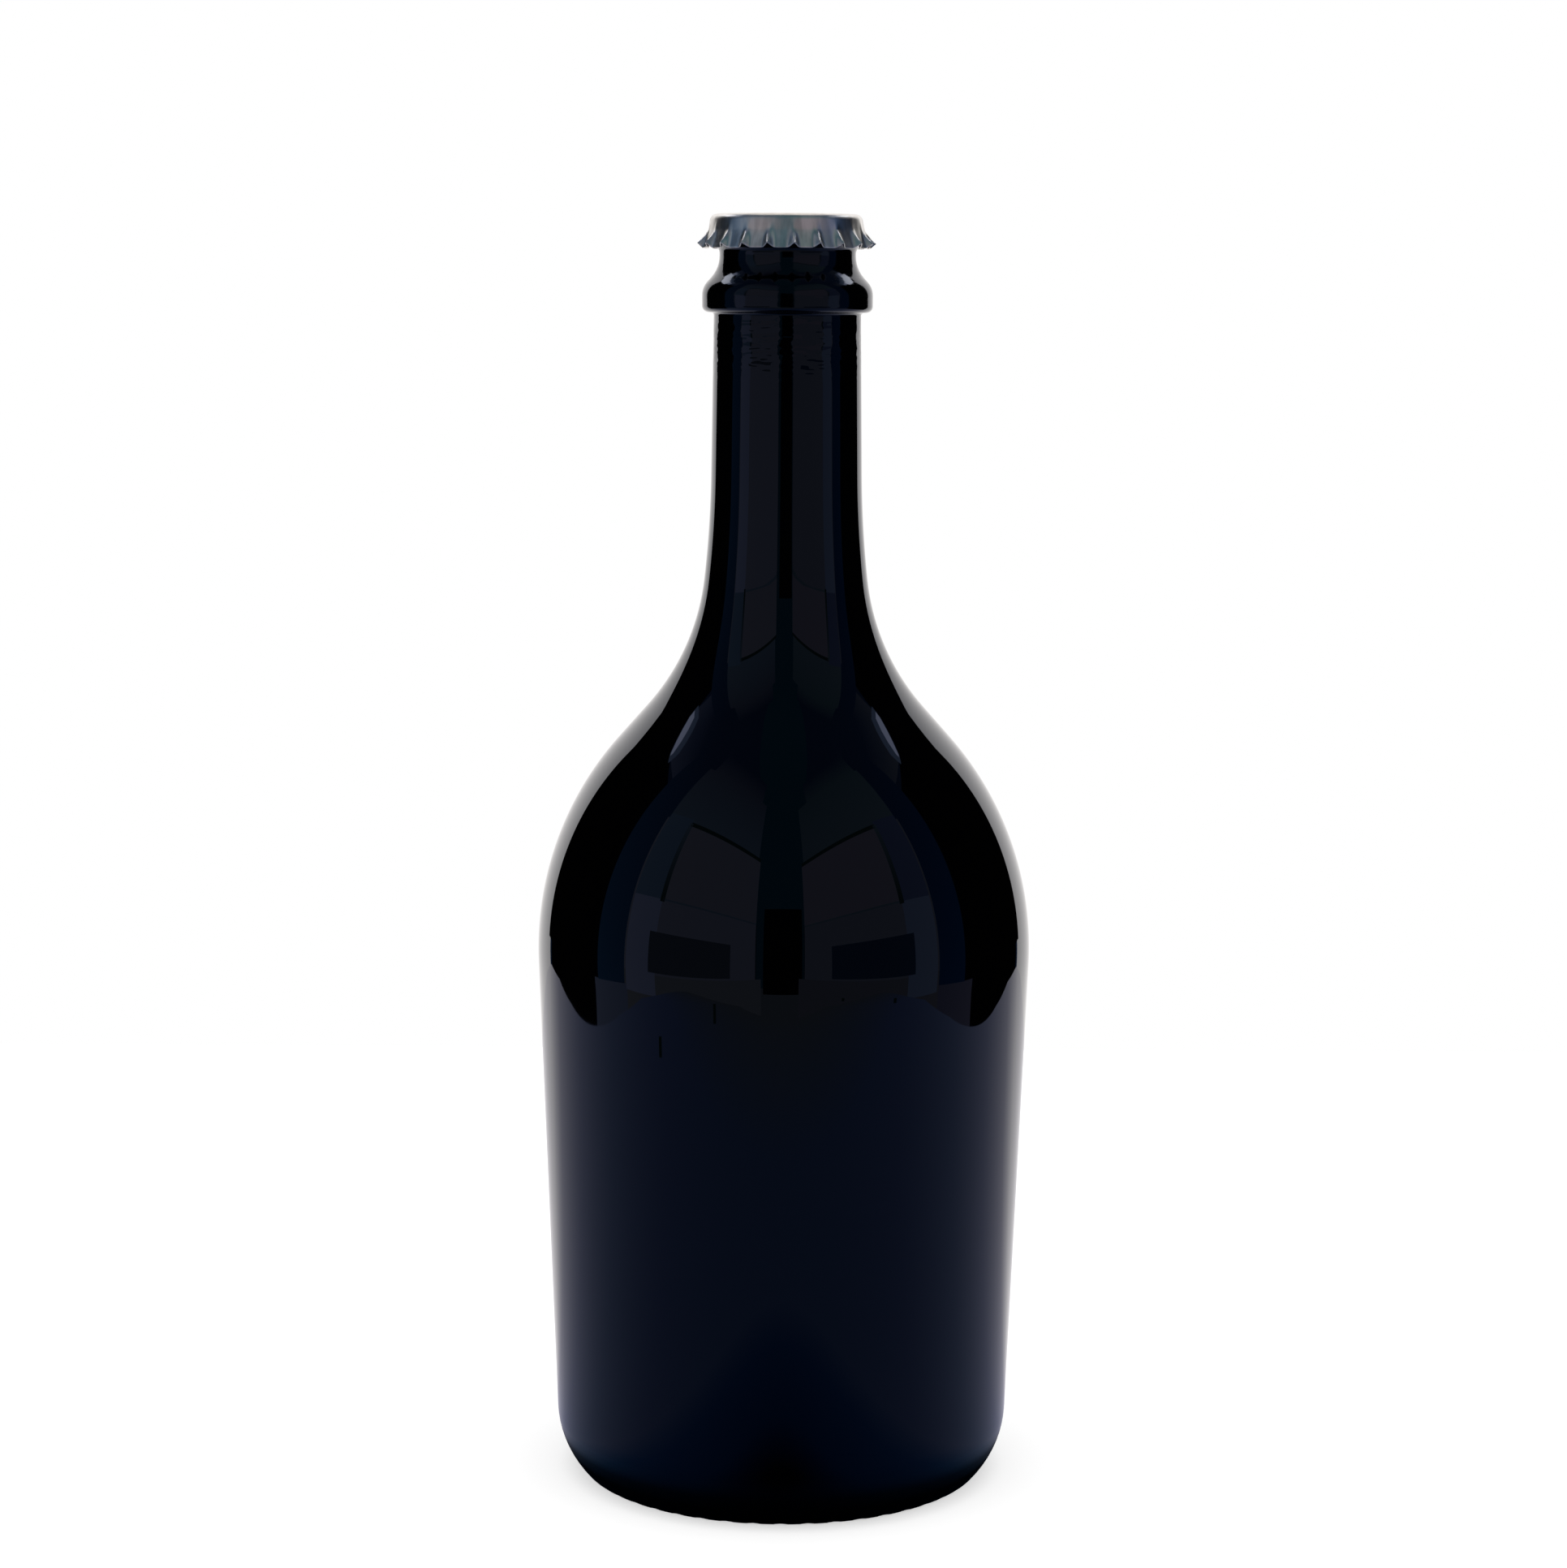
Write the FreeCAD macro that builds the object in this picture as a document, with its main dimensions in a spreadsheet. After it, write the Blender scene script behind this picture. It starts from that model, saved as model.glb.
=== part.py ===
"""Crown cap bottle: a squat black glass bottle with an uncrimped crown cap set loosely on its lip.

The bottle is shut and opaque, so it is one solid out to its outer shape. It stands on a knurled
bearing ring round a shallow push-up, and it is turned from one outline of lines and arcs: heel,
tapered side, round shoulder, throat, long neck, bead, waist and lip. The cap is one sheet of steel
with 21 flutes. Its skirt still flares, as it does before a cap is pressed on, and the cap's inside
rests flat on the lip.

Frame: +Z up, origin at the middle of the bearing plane, the bottle's front towards -Y.
Sizes are in millimetres and degrees, and each is a cell of the sheet.
"""
import FreeCAD, Part
import math
import os

import Sketcher
from FreeCAD import Placement, Rotation, Vector

# Name, value and meaning of each driving size.
SIZES = [
    # Body
    ("foot_radius", 45.0, "radius of the side's line where it would meet the bearing plane"),
    ("shoulder_radius", 49.1, "radius where the side turns into the shoulder"),
    ("shoulder_height", 103.9, "height where the side turns into the shoulder"),
    ("heel_arc", 19.0, "radius of the heel's curve"),
    ("heel_inset", 5.4, "bearing ring's outer edge, in from the foot radius"),
    ("heel_round", 1.2, "rounding between the bearing ring and the heel"),
    # Underside
    ("bearing_width", 3.4, "width of the flat bearing ring"),
    ("pushup_round", 4.0, "rounding from the push-up to the bearing ring"),
    ("pushup_rise", 6.0, "height of the push-up at its middle"),
    ("knurl_count", 48, "grooves across the bearing ring"),
    ("knurl_width", 3.0, "width of a groove at the bearing plane"),
    ("knurl_depth", 0.36, "depth of a groove at its middle"),
    ("knurl_land", 0.8, "width of the plain ring left inside the grooves"),
    # Shoulder and neck
    ("shoulder_arc", 63.7, "radius of the shoulder's curve"),
    ("slope_length", 8.6, "length of the straight slope between shoulder and throat"),
    ("throat_arc", 45.8, "radius of the throat's hollow curve"),
    ("neck_arc", 206.0, "radius of the long hollow curve from the throat to the neck"),
    ("neck_blend", 20.4, "height that this long curve takes up"),
    ("neck_base_radius", 14.87, "neck's radius at its lower end"),
    ("neck_length", 31.2, "height of the neck's straight part"),
    # Lip, waist and bead
    ("lip_radius", 14.3, "radius of the lip that the cap goes over"),
    ("lip_face", 3.15, "height of the lip's upright face"),
    ("lip_round", 2.6, "rounding of the lip's top edge"),
    ("lip_lean", 45.0, "angle of the lip's underside from upright"),
    ("lip_fillet", 1.6, "radius of the hollow curve under the lip"),
    ("waist_inset", 0.95, "waist, in from the lip's face"),
    ("waist_height", 0.4, "height of the waist's upright part"),
    ("waist_arc", 6.3, "radius of the hollow curve from the waist to the bead"),
    ("bead_reach", 3.4, "bead's face, out from the waist"),
    ("bead_slope", 1.1, "length of the straight slope above the bead"),
    ("bead_arc", 4.0, "rounding of the bead's upper edge"),
    ("bead_face", 2.0, "height of the bead's upright face"),
    ("bead_round", 1.3, "rounding of the bead's lower edge"),
    ("bead_fillet", 0.6, "hollow corner between the bead and the neck"),
    ("neck_inset", 2.3, "top of the neck, in from the bead's face"),
    # Cap
    ("cap_sheet", 0.25, "thickness of the cap's steel"),
    ("cap_play", 0.4, "gap all round between the lip and the cap's wall"),
    ("cap_shift", 0.3, "how far the loose cap lies off the bottle's axis, to the left"),
    ("cap_turn", 5.0, "angle of one ridge from the front, to the right"),
    ("cap_corner", 1.4, "rounding of the cap's top edge"),
    ("cap_wall_lean", 8.0, "angle of the plain wall from upright"),
    ("cap_wall_height", 2.95, "from the cap's top down to the start of the flutes"),
    ("flute_count", 21, "ridges round the skirt"),
    ("flute_sharpness", 4.5, "power of the cosine that makes the ridges narrow"),
    ("flare_bend", 1.3, "power of the drop that bends the skirt outwards"),
    ("panel_reach", 1.3, "how far the skirt flares between two ridges"),
    ("panel_drop", 3.65, "height of the skirt between two ridges"),
    ("ridge_reach", 2.4, "how far the skirt flares at a ridge"),
    ("ridge_drop", 2.7, "height of the skirt at a ridge"),
]

SHEET = "Sizes"
FULL_TURN = 360.0
KNURL_OVERRUN = 4.0   # the groove's cutter starts this far outside the bearing ring
KNURL_BELOW = 1.0     # and reaches this far below the bearing plane
CORNER_STEPS = 5      # steps of the cap's grid over its rounded top edge
WALL_STEPS = 2        # down its plain wall
SKIRT_STEPS = 8       # down its skirt
FLUTE_STEPS = 10      # and round each flute

# How a sketch's constraints name points and axes.
FIRST = 1
SECOND = 2
CENTRE = 3
LEVEL_AXIS = -1
UPRIGHT_AXIS = -2

# Headings of the outline, in degrees: it runs outwards, up and back to the axis.
OUTWARDS = 0.0
UP = 90.0
INWARDS = 180.0


def make_sheet(doc):
    """Put the driving sizes into the sheet, one row each, and return them by name."""
    sheet = doc.addObject("Spreadsheet::Sheet", SHEET)
    for row, (name, value, meaning) in enumerate(SIZES, start=1):
        sheet.set(f"A{row}", name)
        sheet.set(f"B{row}", str(value))
        sheet.set(f"C{row}", meaning)
        sheet.setAlias(f"B{row}", name)
    doc.recompute()
    return {name: float(sheet.get(name)) for name, _, _ in SIZES}


def in_cells(*signed):
    """An expression that adds up cells, each named with its sign: in_cells("+lip_radius")."""
    return " ".join(f"{name[0]} {SHEET}.{name[1:]}" for name in signed)


def flat_sketch(body, name, role):
    """A new sketch in the body, on the origin plane of the body that has this role."""
    plane = next(item for item in body.Origin.OriginFeatures if item.Role == role)
    sketch = body.newObject("Sketcher::SketchObject", name)
    sketch.AttachmentSupport = [(plane, "")]
    sketch.MapMode = "FlatFace"
    return sketch


def bind(sketch, name, expression, *values):
    """Add a sketch constraint whose size follows an expression."""
    number = sketch.addConstraint(Sketcher.Constraint(*values))
    sketch.renameConstraint(number, name)
    sketch.setExpression(f"Constraints.{name}", expression)


class Outline:
    """A chain of lines and tangent arcs in a sketch, drawn in the direction that it heads.

    The glass is on its left, so an arc that turns left bulges and one that turns right is hollow.
    Each piece is (its number, its first point, its last point) as constraints name them.
    """

    def __init__(self, sketch, size, radius, height):
        self.sketch = sketch
        self.sizes = size
        self.point = Vector(radius, height, 0)
        self.heading = OUTWARDS
        self.pieces = {}
        self.previous = None

    def line(self, name, length, corner=None):
        """Draw a line of about this length, straight on or, past a corner, on a new heading."""
        if corner is not None:
            self.heading = corner
        turn = math.radians(self.heading)
        target = self.point + Vector(math.cos(turn), math.sin(turn), 0) * length
        number = self.sketch.addGeometry(Part.LineSegment(self.point, target), False)
        self._join(name, (number, FIRST, SECOND), target, corner is None)

    def line_of(self, name, cell):
        """Draw a line straight on, whose length is a cell's."""
        self.line(name, self.sizes[cell])
        values = ("Distance", self.pieces[name][0], self.sizes[cell])
        bind(self.sketch, f"{name}_length", in_cells(f"+{cell}"), *values)

    def arc(self, name, radius, heading):
        """Draw an arc of about this radius that goes straight on and ends on the new heading."""
        side = 1 if heading > self.heading else -1
        first = math.radians(self.heading) - side * math.pi / 2
        last = math.radians(heading) - side * math.pi / 2
        centre = self.point - Vector(math.cos(first), math.sin(first), 0) * radius
        target = centre + Vector(math.cos(last), math.sin(last), 0) * radius
        circle = Part.Circle(centre, Vector(0, 0, 1), radius)
        arc = Part.ArcOfCircle(circle, min(first, last), max(first, last))
        number = self.sketch.addGeometry(arc, False)
        self.heading = heading
        ends = (FIRST, SECOND) if side > 0 else (SECOND, FIRST)
        self._join(name, (number, *ends), target, True)

    def arc_of(self, name, cell, heading):
        """Draw an arc that goes straight on, whose radius is a cell's."""
        self.arc(name, self.sizes[cell], heading)
        values = ("Radius", self.pieces[name][0], self.sizes[cell])
        bind(self.sketch, f"{name}_radius", in_cells(f"+{cell}"), *values)

    def _join(self, name, piece, target, smooth):
        """Tie a new piece to the one before it, and go to its far end."""
        if self.previous:
            kind = "Tangent" if smooth else "Coincident"
            ends = (self.previous[0], self.previous[2], piece[0], piece[1])
            self.sketch.addConstraint(Sketcher.Constraint(kind, *ends))
        self.previous = piece
        self.pieces[name] = piece
        self.point = target

    def tie(self, *values):
        """Add a constraint with no size."""
        self.sketch.addConstraint(Sketcher.Constraint(*values))

    def rise_of(self, name, cell):
        """Give a piece the height between its ends."""
        number, start, end = self.pieces[name]
        values = ("DistanceY", number, start, number, end, self.sizes[cell])
        bind(self.sketch, f"{name}_rise", in_cells(f"+{cell}"), *values)

    def end_radius(self, name, *signed):
        """Give a piece's last point its distance from the axis, as a sum of cells."""
        number, _, end = self.pieces[name]
        radius = self.sketch.getPoint(number, end).x
        values = ("DistanceX", LEVEL_AXIS, FIRST, number, end, radius)
        bind(self.sketch, f"{name}_end", in_cells(*signed), *values)

    def height_of(self, name, point, cell):
        """Give one of a piece's points its height."""
        values = ("DistanceY", LEVEL_AXIS, FIRST, self.pieces[name][0], point, self.sizes[cell])
        bind(self.sketch, f"{name}_height", in_cells(f"+{cell}"), *values)


def slope_heading(run, bulge, slope, hollow, heading_below, heading_above):
    """The heading of the straight slope between a bulging and a hollow arc that go in by a run."""
    lean_below = math.radians(heading_below - UP)
    lean_above = math.radians(heading_above - UP)
    wanted = bulge * math.cos(lean_below) + hollow * math.cos(lean_above) - run
    arcs = bulge + hollow
    lean = math.acos(wanted / math.hypot(arcs, slope)) - math.atan2(slope, arcs)
    return UP + math.degrees(lean)


def heel_heading(size, bearing_out, side_lean):
    """The heading where the heel's curve takes over from the rounding of the bearing ring."""
    # The curve's centre is on a line beside the side's, at one radius less the rounding from the
    # rounding's own centre.
    line_radius = size["foot_radius"] - size["heel_arc"] / math.cos(side_lean)
    tilt = math.tan(side_lean)
    offset = line_radius - bearing_out
    reach = size["heel_arc"] - size["heel_round"]
    square = 1 + tilt ** 2
    linear = tilt * offset - size["heel_round"]
    rest = offset ** 2 + size["heel_round"] ** 2 - reach ** 2
    height = (-linear + math.sqrt(linear ** 2 - square * rest)) / square
    radius = line_radius + tilt * height
    return math.degrees(math.atan2(bearing_out - radius, height - size["heel_round"]))


def draw_underside(pen, bearing_out):
    """Draw the push-up and the bearing ring."""
    size = pen.sizes
    rise = size["pushup_rise"]
    edge = size["pushup_round"]
    bearing_in = bearing_out - size["bearing_width"]
    dome = rise - ((rise + edge) ** 2 - bearing_in ** 2 - edge ** 2) / (2 * rise)
    pen.arc("pushup", dome, -math.degrees(math.asin(bearing_in / (dome + edge))))
    pen.arc_of("pushup_edge", "pushup_round", OUTWARDS)
    pen.line_of("bearing", "bearing_width")
    pushup, first, _ = pen.pieces["pushup"]
    pen.tie("PointOnObject", pushup, CENTRE, UPRIGHT_AXIS)
    pen.height_of("pushup", first, "pushup_rise")
    pen.tie("Horizontal", pen.pieces["bearing"][0])
    pen.tie("PointOnObject", pen.pieces["bearing"][0], FIRST, LEVEL_AXIS)
    pen.end_radius("bearing", "+foot_radius", "-heel_inset")


def draw_side(pen, bearing_out):
    """Draw the heel and the tapered side."""
    size = pen.sizes
    taper = size["shoulder_radius"] - size["foot_radius"]
    lean = math.atan2(taper, size["shoulder_height"])
    pen.arc_of("heel_edge", "heel_round", heel_heading(size, bearing_out, lean))
    pen.arc_of("heel", "heel_arc", UP - math.degrees(lean))
    pen.line("side", (size["shoulder_height"] - pen.point.y) / math.cos(lean))
    side, first, last = pen.pieces["side"]
    pen.end_radius("side", "+shoulder_radius")
    pen.height_of("side", last, "shoulder_height")
    # The side lies on a line from the foot radius to the shoulder.
    foot = Vector(size["foot_radius"], 0, 0)
    guide = pen.sketch.addGeometry(Part.LineSegment(pen.point, foot), True)
    pen.pieces["guide"] = (guide, FIRST, SECOND)
    pen.tie("Coincident", guide, FIRST, side, last)
    pen.tie("PointOnObject", guide, SECOND, LEVEL_AXIS)
    pen.tie("PointOnObject", side, first, guide)
    pen.end_radius("guide", "+foot_radius")


def draw_neck(pen):
    """Draw the shoulder, the slope, the throat and the neck."""
    size = pen.sizes
    neck_top = size["lip_radius"] - size["waist_inset"] + size["bead_reach"] - size["neck_inset"]
    neck_lean = math.atan2(size["neck_base_radius"] - neck_top, size["neck_length"])
    blend_lean = math.asin(math.sin(neck_lean) + size["neck_blend"] / size["neck_arc"])
    blend_run = size["neck_arc"] * (math.cos(neck_lean) - math.cos(blend_lean))
    run = size["shoulder_radius"] - size["neck_base_radius"] - blend_run
    throat = UP + math.degrees(blend_lean)
    arcs = (size["shoulder_arc"], size["slope_length"], size["throat_arc"])
    pen.arc_of("shoulder", "shoulder_arc", slope_heading(run, *arcs, pen.heading, throat))
    pen.line_of("slope", "slope_length")
    pen.arc_of("throat", "throat_arc", throat)
    pen.arc_of("blend", "neck_arc", UP + math.degrees(neck_lean))
    pen.line("neck", size["neck_length"] / math.cos(neck_lean))
    pen.rise_of("blend", "neck_blend")
    pen.rise_of("neck", "neck_length")
    pen.end_radius("blend", "+neck_base_radius")
    pen.end_radius("neck", "+lip_radius", "-waist_inset", "+bead_reach", "-neck_inset")


def draw_bead(pen):
    """Draw the bead under the finish and the waist above it."""
    size = pen.sizes
    arcs = (size["bead_arc"], size["bead_slope"], size["waist_arc"])
    pen.arc_of("bead_corner", "bead_fillet", OUTWARDS)
    pen.line("bead_under", size["neck_inset"] - size["bead_fillet"] - size["bead_round"])
    pen.arc_of("bead_edge", "bead_round", UP)
    pen.line_of("bead_front", "bead_face")
    pen.arc_of("bead_top", "bead_arc", slope_heading(size["bead_reach"], *arcs, UP, UP))
    pen.line_of("above_bead", "bead_slope")
    pen.arc_of("waist_curve", "waist_arc", UP)
    pen.line_of("waist", "waist_height")
    pen.tie("Horizontal", pen.pieces["bead_under"][0])
    pen.tie("Vertical", pen.pieces["bead_front"][0])
    pen.tie("Vertical", pen.pieces["waist"][0])
    pen.end_radius("bead_front", "+lip_radius", "-waist_inset", "+bead_reach")
    pen.end_radius("waist", "+lip_radius", "-waist_inset")


def draw_lip(pen):
    """Draw the lip and close the outline along the axis."""
    size = pen.sizes
    lean = math.radians(size["lip_lean"])
    pen.arc_of("lip_corner", "lip_fillet", UP - size["lip_lean"])
    pen.line("lip_under", (size["lip_radius"] - pen.point.x) / math.sin(lean))
    pen.line("lip_front", size["lip_face"], UP)
    pen.arc_of("lip_edge", "lip_round", INWARDS)
    pen.line("lip_top", pen.point.x)
    pen.line("axis", pen.point.y - size["pushup_rise"], -UP)
    values = ("Angle", pen.pieces["lip_under"][0], math.radians(UP) - lean)
    bind(pen.sketch, "lip_lean", f"{UP} deg - {SHEET}.lip_lean * 1 deg", *values)
    pen.tie("Vertical", pen.pieces["lip_front"][0])
    pen.rise_of("lip_front", "lip_face")
    pen.end_radius("lip_front", "+lip_radius")
    pen.tie("Horizontal", pen.pieces["lip_top"][0])
    axis, first, last = pen.pieces["axis"]
    pen.tie("PointOnObject", axis, first, UPRIGHT_AXIS)
    pen.tie("PointOnObject", axis, last, UPRIGHT_AXIS)
    pen.tie("Coincident", axis, last, *pen.pieces["pushup"][:2])


def draw_groove(groove, size):
    """Draw a knurl groove's section: a shallow arc above, and a box below the bearing plane."""
    half = size["knurl_width"] / 2
    depth = size["knurl_depth"]
    left = Vector(-half, 0, 0)
    right = Vector(half, 0, 0)
    down = Vector(0, -KNURL_BELOW, 0)
    roof = groove.addGeometry(Part.Arc(right, Vector(0, depth, 0), left), False)
    corners = (left, left + down, right + down, right)
    lines = [Part.LineSegment(start, end) for start, end in zip(corners, corners[1:])]
    wall_left, floor, wall_right = groove.addGeometry(lines, False)
    chain = (roof, wall_left, floor, wall_right, roof)
    for before, after in zip(chain, chain[1:]):
        groove.addConstraint(Sketcher.Constraint("Coincident", before, SECOND, after, FIRST))
    groove.addConstraint(Sketcher.Constraint("Vertical", wall_left))
    groove.addConstraint(Sketcher.Constraint("Vertical", wall_right))
    groove.addConstraint(Sketcher.Constraint("Horizontal", floor))
    groove.addConstraint(Sketcher.Constraint("PointOnObject", roof, CENTRE, UPRIGHT_AXIS))
    groove.addConstraint(Sketcher.Constraint("PointOnObject", roof, FIRST, LEVEL_AXIS))
    values = ("DistanceX", roof, SECOND, roof, FIRST, 2 * half)
    bind(groove, "width", f"{SHEET}.knurl_width", *values)
    values = ("DistanceY", floor, FIRST, LEVEL_AXIS, FIRST, KNURL_BELOW)
    bind(groove, "below", f"{KNURL_BELOW}", *values)
    values = ("Radius", roof, (depth ** 2 + half ** 2) / (2 * depth))
    squares = f"{SHEET}.knurl_depth ^ 2 + ({SHEET}.knurl_width / 2) ^ 2"
    bind(groove, "radius", f"({squares}) / (2 * {SHEET}.knurl_depth)", *values)


def cut_knurl(doc, body, outline, size, bearing_out):
    """Cut one groove across the bearing ring, and repeat it round the ring."""
    start = bearing_out + KNURL_OVERRUN
    groove = flat_sketch(body, "knurl_section", "YZ_Plane")
    groove.AttachmentOffset = Placement(Vector(0, 0, start), Rotation())
    outwards = f"{in_cells('+foot_radius', '-heel_inset')} + {KNURL_OVERRUN}"
    groove.setExpression("AttachmentOffset.Base.z", outwards)
    draw_groove(groove, size)
    pocket = body.newObject("PartDesign::Pocket", "knurl_groove")
    pocket.Profile = groove
    across = f"{in_cells('+bearing_width', '-knurl_land')} + {KNURL_OVERRUN}"
    pocket.setExpression("Length", across)
    doc.recompute()
    knurl = body.newObject("PartDesign::PolarPattern", "knurl")
    knurl.Originals = [pocket]
    knurl.Axis = (outline, ["V_Axis"])
    knurl.Angle = FULL_TURN
    knurl.setExpression("Occurrences", f"{SHEET}.knurl_count")
    body.Tip = knurl


def make_bottle(doc, size):
    """Turn the outline into the bottle and cut its knurl; return it with its lip's height."""
    body = doc.addObject("PartDesign::Body", "bottle")
    body.Label = "bottle"
    outline = flat_sketch(body, "bottle_outline", "XZ_Plane")
    bearing_out = size["foot_radius"] - size["heel_inset"]
    pen = Outline(outline, size, 0, size["pushup_rise"])
    draw_underside(pen, bearing_out)
    draw_side(pen, bearing_out)
    draw_neck(pen)
    draw_bead(pen)
    draw_lip(pen)
    turned = body.newObject("PartDesign::Revolution", "bottle_turned")
    turned.Profile = outline
    turned.ReferenceAxis = (outline, ["V_Axis"])
    turned.Angle = FULL_TURN
    doc.recompute()
    if not outline.FullyConstrained:
        raise RuntimeError("the outline isn't fixed by its sizes")
    plain_volume = turned.Shape.Volume
    cut_knurl(doc, body, outline, size, bearing_out)
    doc.recompute()
    if not body.Shape.Volume < plain_volume:
        raise RuntimeError("the knurl's grooves cut nothing")
    lip_top, first, _ = pen.pieces["lip_top"]
    return body, outline.getPoint(lip_top, first).y


def cap_section(size, inset, reach, drop):
    """One section of the cap from the flat top's edge down to the rim, set into the sheet.

    The points are (radius, height) pairs, with height 0 at the cap's top.
    """
    lean = math.radians(size["cap_wall_lean"])
    wall = size["lip_radius"] + size["cap_play"] + size["cap_sheet"]
    corner = size["cap_corner"]
    centre = (wall - corner * math.cos(lean), -corner)
    points = []
    for step in range(CORNER_STEPS + 1):
        turn = math.pi / 2 + (lean - math.pi / 2) * step / CORNER_STEPS
        bend = corner - inset
        points.append((centre[0] + bend * math.cos(turn), centre[1] + bend * math.sin(turn)))

    corner_foot = centre[1] + corner * math.sin(lean)
    wall_drop = size["cap_wall_height"] + corner_foot
    for step in range(1, WALL_STEPS + 1):
        down = wall_drop * step / WALL_STEPS
        radius = wall + down * math.tan(lean) - inset * math.cos(lean)
        points.append((radius, corner_foot - down - inset * math.sin(lean)))

    foot = wall + wall_drop * math.tan(lean)
    straight = drop * math.tan(lean)
    for step in range(1, SKIRT_STEPS + 1):
        part = step / SKIRT_STEPS
        bend = size["flare_bend"]
        radius = foot + straight * part + (reach - straight) * part ** bend
        height = -size["cap_wall_height"] - drop * part
        outwards = straight + (reach - straight) * bend * part ** (bend - 1)
        length = math.hypot(outwards, drop)
        points.append((radius - inset * drop / length, height - inset * outwards / length))
    return points


def cap_skin(size, inset):
    """One side of the cap's sheet as a surface: its sections swing between panel and ridge."""
    panel = cap_section(size, inset, size["panel_reach"], size["panel_drop"])
    ridge = cap_section(size, inset, size["ridge_reach"], size["ridge_drop"])
    flutes = int(size["flute_count"])
    steps = flutes * FLUTE_STEPS
    grid = []
    for step in range(steps + 1):
        # The seam is between two ridges, and one ridge ends up at the front.
        turn = 2 * math.pi * (step % steps) / steps + math.pi / flutes - math.pi / 2
        swing = (1 + math.cos(flutes * (turn + math.pi / 2))) / 2
        share = swing ** size["flute_sharpness"]
        column = []
        for low, high in zip(panel, ridge):
            radius = low[0] + (high[0] - low[0]) * share
            height = low[1] + (high[1] - low[1]) * share
            column.append(Vector(radius * math.cos(turn), radius * math.sin(turn), height))
        grid.append(column)
    surface = Part.BSplineSurface()
    surface.interpolate(grid)
    for number in range(1, surface.NbUPoles + 1):
        # Interpolation leaves the first row of poles a few nanometres out of level.
        pole = surface.getPole(number, 1)
        surface.setPole(number, 1, Vector(pole.x, pole.y, -inset))
    return surface.toShape()


def edges_by_height(face):
    """A skin's edges from the lowest, its rim, to the highest, round the flat top."""
    return sorted(face.Edges, key=lambda edge: edge.CenterOfMass.z)


def make_cap(doc, size, lip_height):
    """Close the cap's two skins into one sheet of steel, and rest it on the lip."""
    outside = cap_skin(size, 0)
    inside = cap_skin(size, size["cap_sheet"])
    outer_rim, _, outer_top = edges_by_height(outside)
    inner_rim, _, inner_top = edges_by_height(inside)
    top = Part.Face(Part.Wire(outer_top))
    ceiling = Part.Face(Part.Wire(inner_top))
    rim = Part.makeRuledSurface(outer_rim, inner_rim)
    shell = Part.Shell([outside, inside, top, ceiling, rim])
    shell.sewShape()
    solid = Part.Solid(shell)
    if solid.Volume < 0:
        solid.reverse()
    cap = doc.addObject("Part::Feature", "crown_cap")
    cap.Label = "crown_cap"
    cap.Shape = solid
    place = Vector(-size["cap_shift"], 0, lip_height + size["cap_sheet"])
    cap.Placement = Placement(place, Rotation(Vector(0, 0, 1), size["cap_turn"]))
    return cap


def check(doc, pieces):
    """Stop if any object failed, or any piece isn't one valid solid."""
    for item in doc.Objects:
        if {"Invalid", "Error"} & set(item.State):
            raise RuntimeError(f"{item.Name} is {item.State}")
    for piece in pieces:
        shape = piece.Shape
        if shape.isNull() or not shape.isValid() or len(shape.Solids) != 1:
            raise RuntimeError(f"{piece.Label} is not one valid solid")
        print(f"{piece.Label}: {shape.Volume / 1000:.2f} ml, {shape.optimalBoundingBox(False)}")


def main():
    """Build the document, check it and write one STEP file for each piece."""
    doc = FreeCAD.newDocument("crown_cap_bottle")
    size = make_sheet(doc)
    bottle, lip_height = make_bottle(doc, size)
    cap = make_cap(doc, size, lip_height)
    doc.recompute()
    check(doc, (bottle, cap))
    os.makedirs("parts", exist_ok=True)
    for piece in (bottle, cap):
        piece.Shape.exportStep(f"parts/{piece.Label}.step")


main()
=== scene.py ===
"""Looks of the crown cap bottle: black glass and a silver cap, in the studio that they reflect.

The bottle and the cap are turned and pressed from their own sizes, in metres, on the places that
the frame gives. The studio is a pale table in front of a white backdrop, with black flags at the
sides and dim light panels at the front, because gloss is all that black glass shows its form by.
"""
import logging
import math
from collections.abc import Callable
from dataclasses import dataclass, replace
from enum import Enum

import bpy
from mathutils import Euler, Matrix, Vector


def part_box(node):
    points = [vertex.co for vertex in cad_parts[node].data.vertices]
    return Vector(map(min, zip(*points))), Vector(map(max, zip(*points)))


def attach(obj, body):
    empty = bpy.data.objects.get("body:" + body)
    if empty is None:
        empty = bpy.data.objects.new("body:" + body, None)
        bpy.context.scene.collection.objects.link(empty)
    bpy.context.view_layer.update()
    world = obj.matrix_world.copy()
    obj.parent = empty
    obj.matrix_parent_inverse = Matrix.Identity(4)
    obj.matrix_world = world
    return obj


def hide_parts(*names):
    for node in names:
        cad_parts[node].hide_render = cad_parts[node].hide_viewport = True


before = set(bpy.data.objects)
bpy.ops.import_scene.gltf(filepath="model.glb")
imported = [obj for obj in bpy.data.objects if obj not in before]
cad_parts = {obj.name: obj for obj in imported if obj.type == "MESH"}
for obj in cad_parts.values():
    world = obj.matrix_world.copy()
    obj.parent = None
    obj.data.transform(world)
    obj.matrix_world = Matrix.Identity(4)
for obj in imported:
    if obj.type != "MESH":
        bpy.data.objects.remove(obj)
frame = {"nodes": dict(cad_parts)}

LOG = logging.getLogger("crown_cap_bottle")
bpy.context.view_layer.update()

Colour = tuple[float, float, float]
"""Red, green and blue, as light and not as a screen codes them."""
Stops = tuple[tuple[float, Colour], ...]
"""The places and colours of a ramp."""
Input = float | tuple[float, ...] | Colour | bpy.types.NodeSocket
"""What can go into a node's socket: a value, or the socket that feeds it."""
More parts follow.
